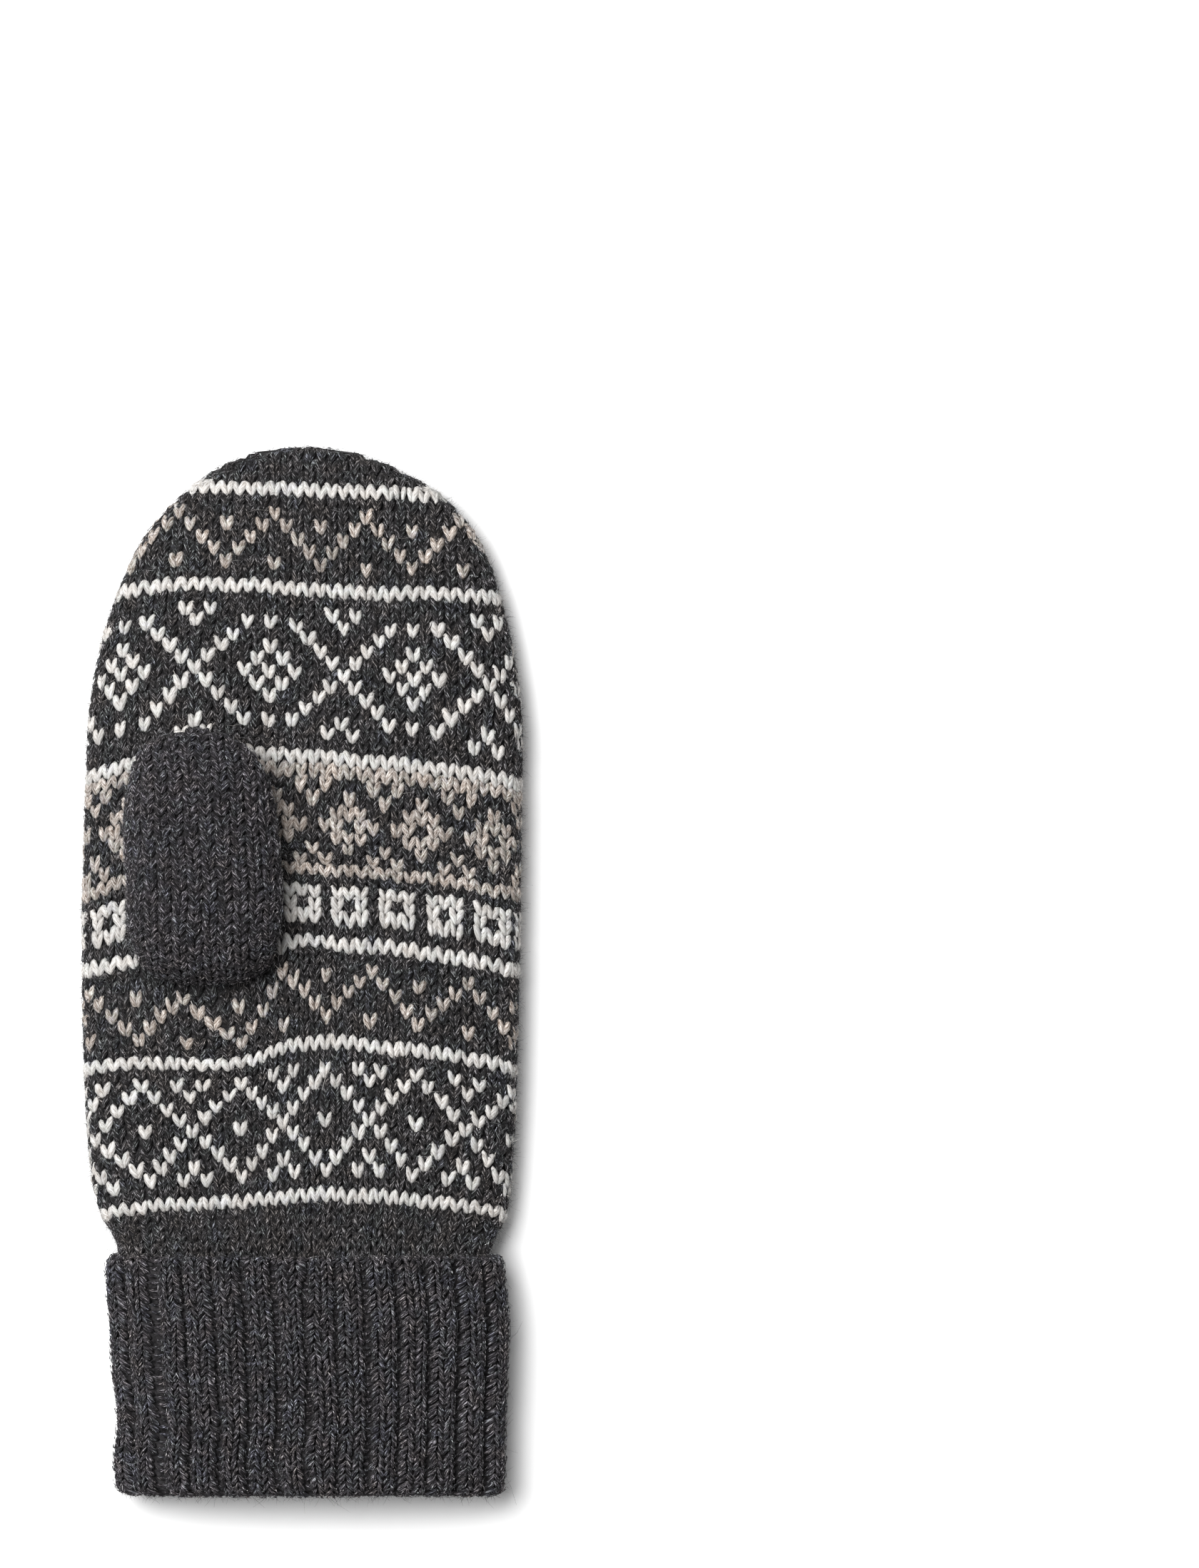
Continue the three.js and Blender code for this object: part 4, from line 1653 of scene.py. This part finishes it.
@dataclass
class Cuff(Piece):
    """The ribbed cuff."""

    knit: CuffKnit = CuffKnit()
    inset: float = field(default=0.9, kw_only=True)
    past_edge: float = 8.0
    fibres_each: float = 5.5
    fold_rows: int = 5
    fold_hairs: float = 3.5
    shape: StitchShape = StitchShape(
        foot=-0.78,
        shoulder=0.8,
        foot_across=0.05,
        shoulder_across=0.44,
        half_width=0.2,
        half_height=0.5,
        along=2.8,
    )

    def build(self) -> None:
        """Knits the ribbing."""
        self.backing()
        surface = self.knit.surface()
        count = self.knit.ribs * self.knit.wales_per_rib
        fold_row = (self.knit.form.length + self.past_edge) / self.knit.course
        wool = self.finishes.ribbed_charcoal.material()
        outer, inner = YarnMesh("cuff_outer_stitches"), YarnMesh("cuff_inner_stitches")
        knitter = Knitter(surface, Seed.CUFF, self.shape)
        for first, last, mesh in ((0, fold_row, outer), (fold_row, surface.courses[-1] - 1, inner)):
            rows = np.arange(math.ceil(first), last - 0.2) + 0.5
            grid = np.array([(w, c) for c in rows for w in range(count)], float)
            knit = grid[:, 0] % self.knit.wales_per_rib != 0
            if mesh is inner:
                knit = ~knit
            knitter.knit(mesh, grid[knit, 0], grid[knit, 1])
            knitter.purl(mesh, grid[~knit, 0], grid[~knit, 1])
            self.dress(mesh.build(self.placing), wool)
        ribs = [w for w in range(count) if w % self.knit.wales_per_rib]
        grid = np.array([(w, c + 0.5) for c in range(int(fold_row)) for w in ribs], float)
        hairs = YarnMesh("cuff_hairs")
        self.fibres(hairs, surface, grid, self.fibres_each, Seed.CUFF_HAIRS, RIB_FIBRE)
        edge = grid[grid[:, 1] > fold_row - self.fold_rows]
        Halo(surface, Seed.CUFF_EDGE, EDGE_HAIR).grow(hairs, edge, self.fold_hairs)
        self.dress(hairs.build(self.placing), self.finishes.charcoal_hair.material())


# ---------------------------------------------------------------- studio


@dataclass(frozen=True)
class Studio:
    """The white table, the soft light and the camera above it."""

    placing: Placing
    lens: float = 220.0
    middle_x: float = 423.0
    base_y: float = 2100.0
    focus_height: float = 14.0
    key_place: tuple[float, float, float] = (-0.6, 0.45, 1.38)
    key_size: float = 1.2
    key_power: float = 43.5
    surround: float = 0.28

    def camera(self) -> None:
        """Places the camera straight above the middle of the photograph's frame."""
        data = bpy.data.cameras.new("camera")
        data.lens = self.lens
        data.sensor_width = 36.0
        data.dof.use_dof = False
        camera = new_object("camera", data)
        distance = PHOTO_HEIGHT * PHOTO_MM_PER_PIXEL * self.lens / data.sensor_width
        x = (PHOTO_WIDTH / 2 - self.middle_x) * PHOTO_MM_PER_PIXEL
        y = (self.base_y - PHOTO_HEIGHT / 2) * PHOTO_MM_PER_PIXEL
        place = self.placing.metres(np.array([x, y, self.focus_height + distance]))
        camera.location = Vector(place)
        bpy.context.scene.camera = camera

    def table(self) -> None:
        """A wide white table."""
        bm = bmesh.new()
        bmesh.ops.create_grid(bm, x_segments=1, y_segments=1, size=3.0)
        mesh = bpy.data.meshes.new("table")
        bm.to_mesh(mesh)
        bm.free()
        table = new_object("table", mesh)
        mat, shader = new_material("white_table", 0.9, 0.1)
        shader.inputs["Base Color"].default_value = (0.96, 0.96, 0.96, 1)
        mesh.materials.append(mat)

    def light(self, name: str, place: tuple[float, float, float], size: float, power: float) -> None:
        """Adds a square soft light that faces the mitten."""
        data = bpy.data.lights.new(name, "AREA")
        data.size = size
        data.energy = power
        lamp = new_object(name, data)
        lamp.location = place
        lamp.rotation_euler = Vector(place).to_track_quat("Z", "Y").to_euler()

    def build(self) -> None:
        """Sets up the studio."""
        self.camera()
        self.table()
        self.light("key_light", self.key_place, self.key_size, self.key_power)
        world = bpy.data.worlds.new("studio")
        world.use_nodes = True
        background = world.node_tree.nodes["Background"]
        background.inputs["Color"].default_value = (1, 1, 1, 1)
        background.inputs["Strength"].default_value = self.surround
        bpy.context.scene.world = world
        bpy.context.scene.view_settings.view_transform = "Standard"


def main() -> None:
    """Builds the studio and the mitten, piece by piece."""
    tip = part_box("hand")[1].y / MM
    form = HandForm()
    placing = Placing((0.12, tip - form.end, 0.0))
    finishes = Finishes()
    Studio(placing).build()
    Hand("hand", "patterned_wool", placing, finishes).build()
    Thumb("thumb", "charcoal_wool", placing, finishes).build()
    Cuff("cuff", "charcoal_wool", placing, finishes).build()


if __name__ == "__main__":
    main()
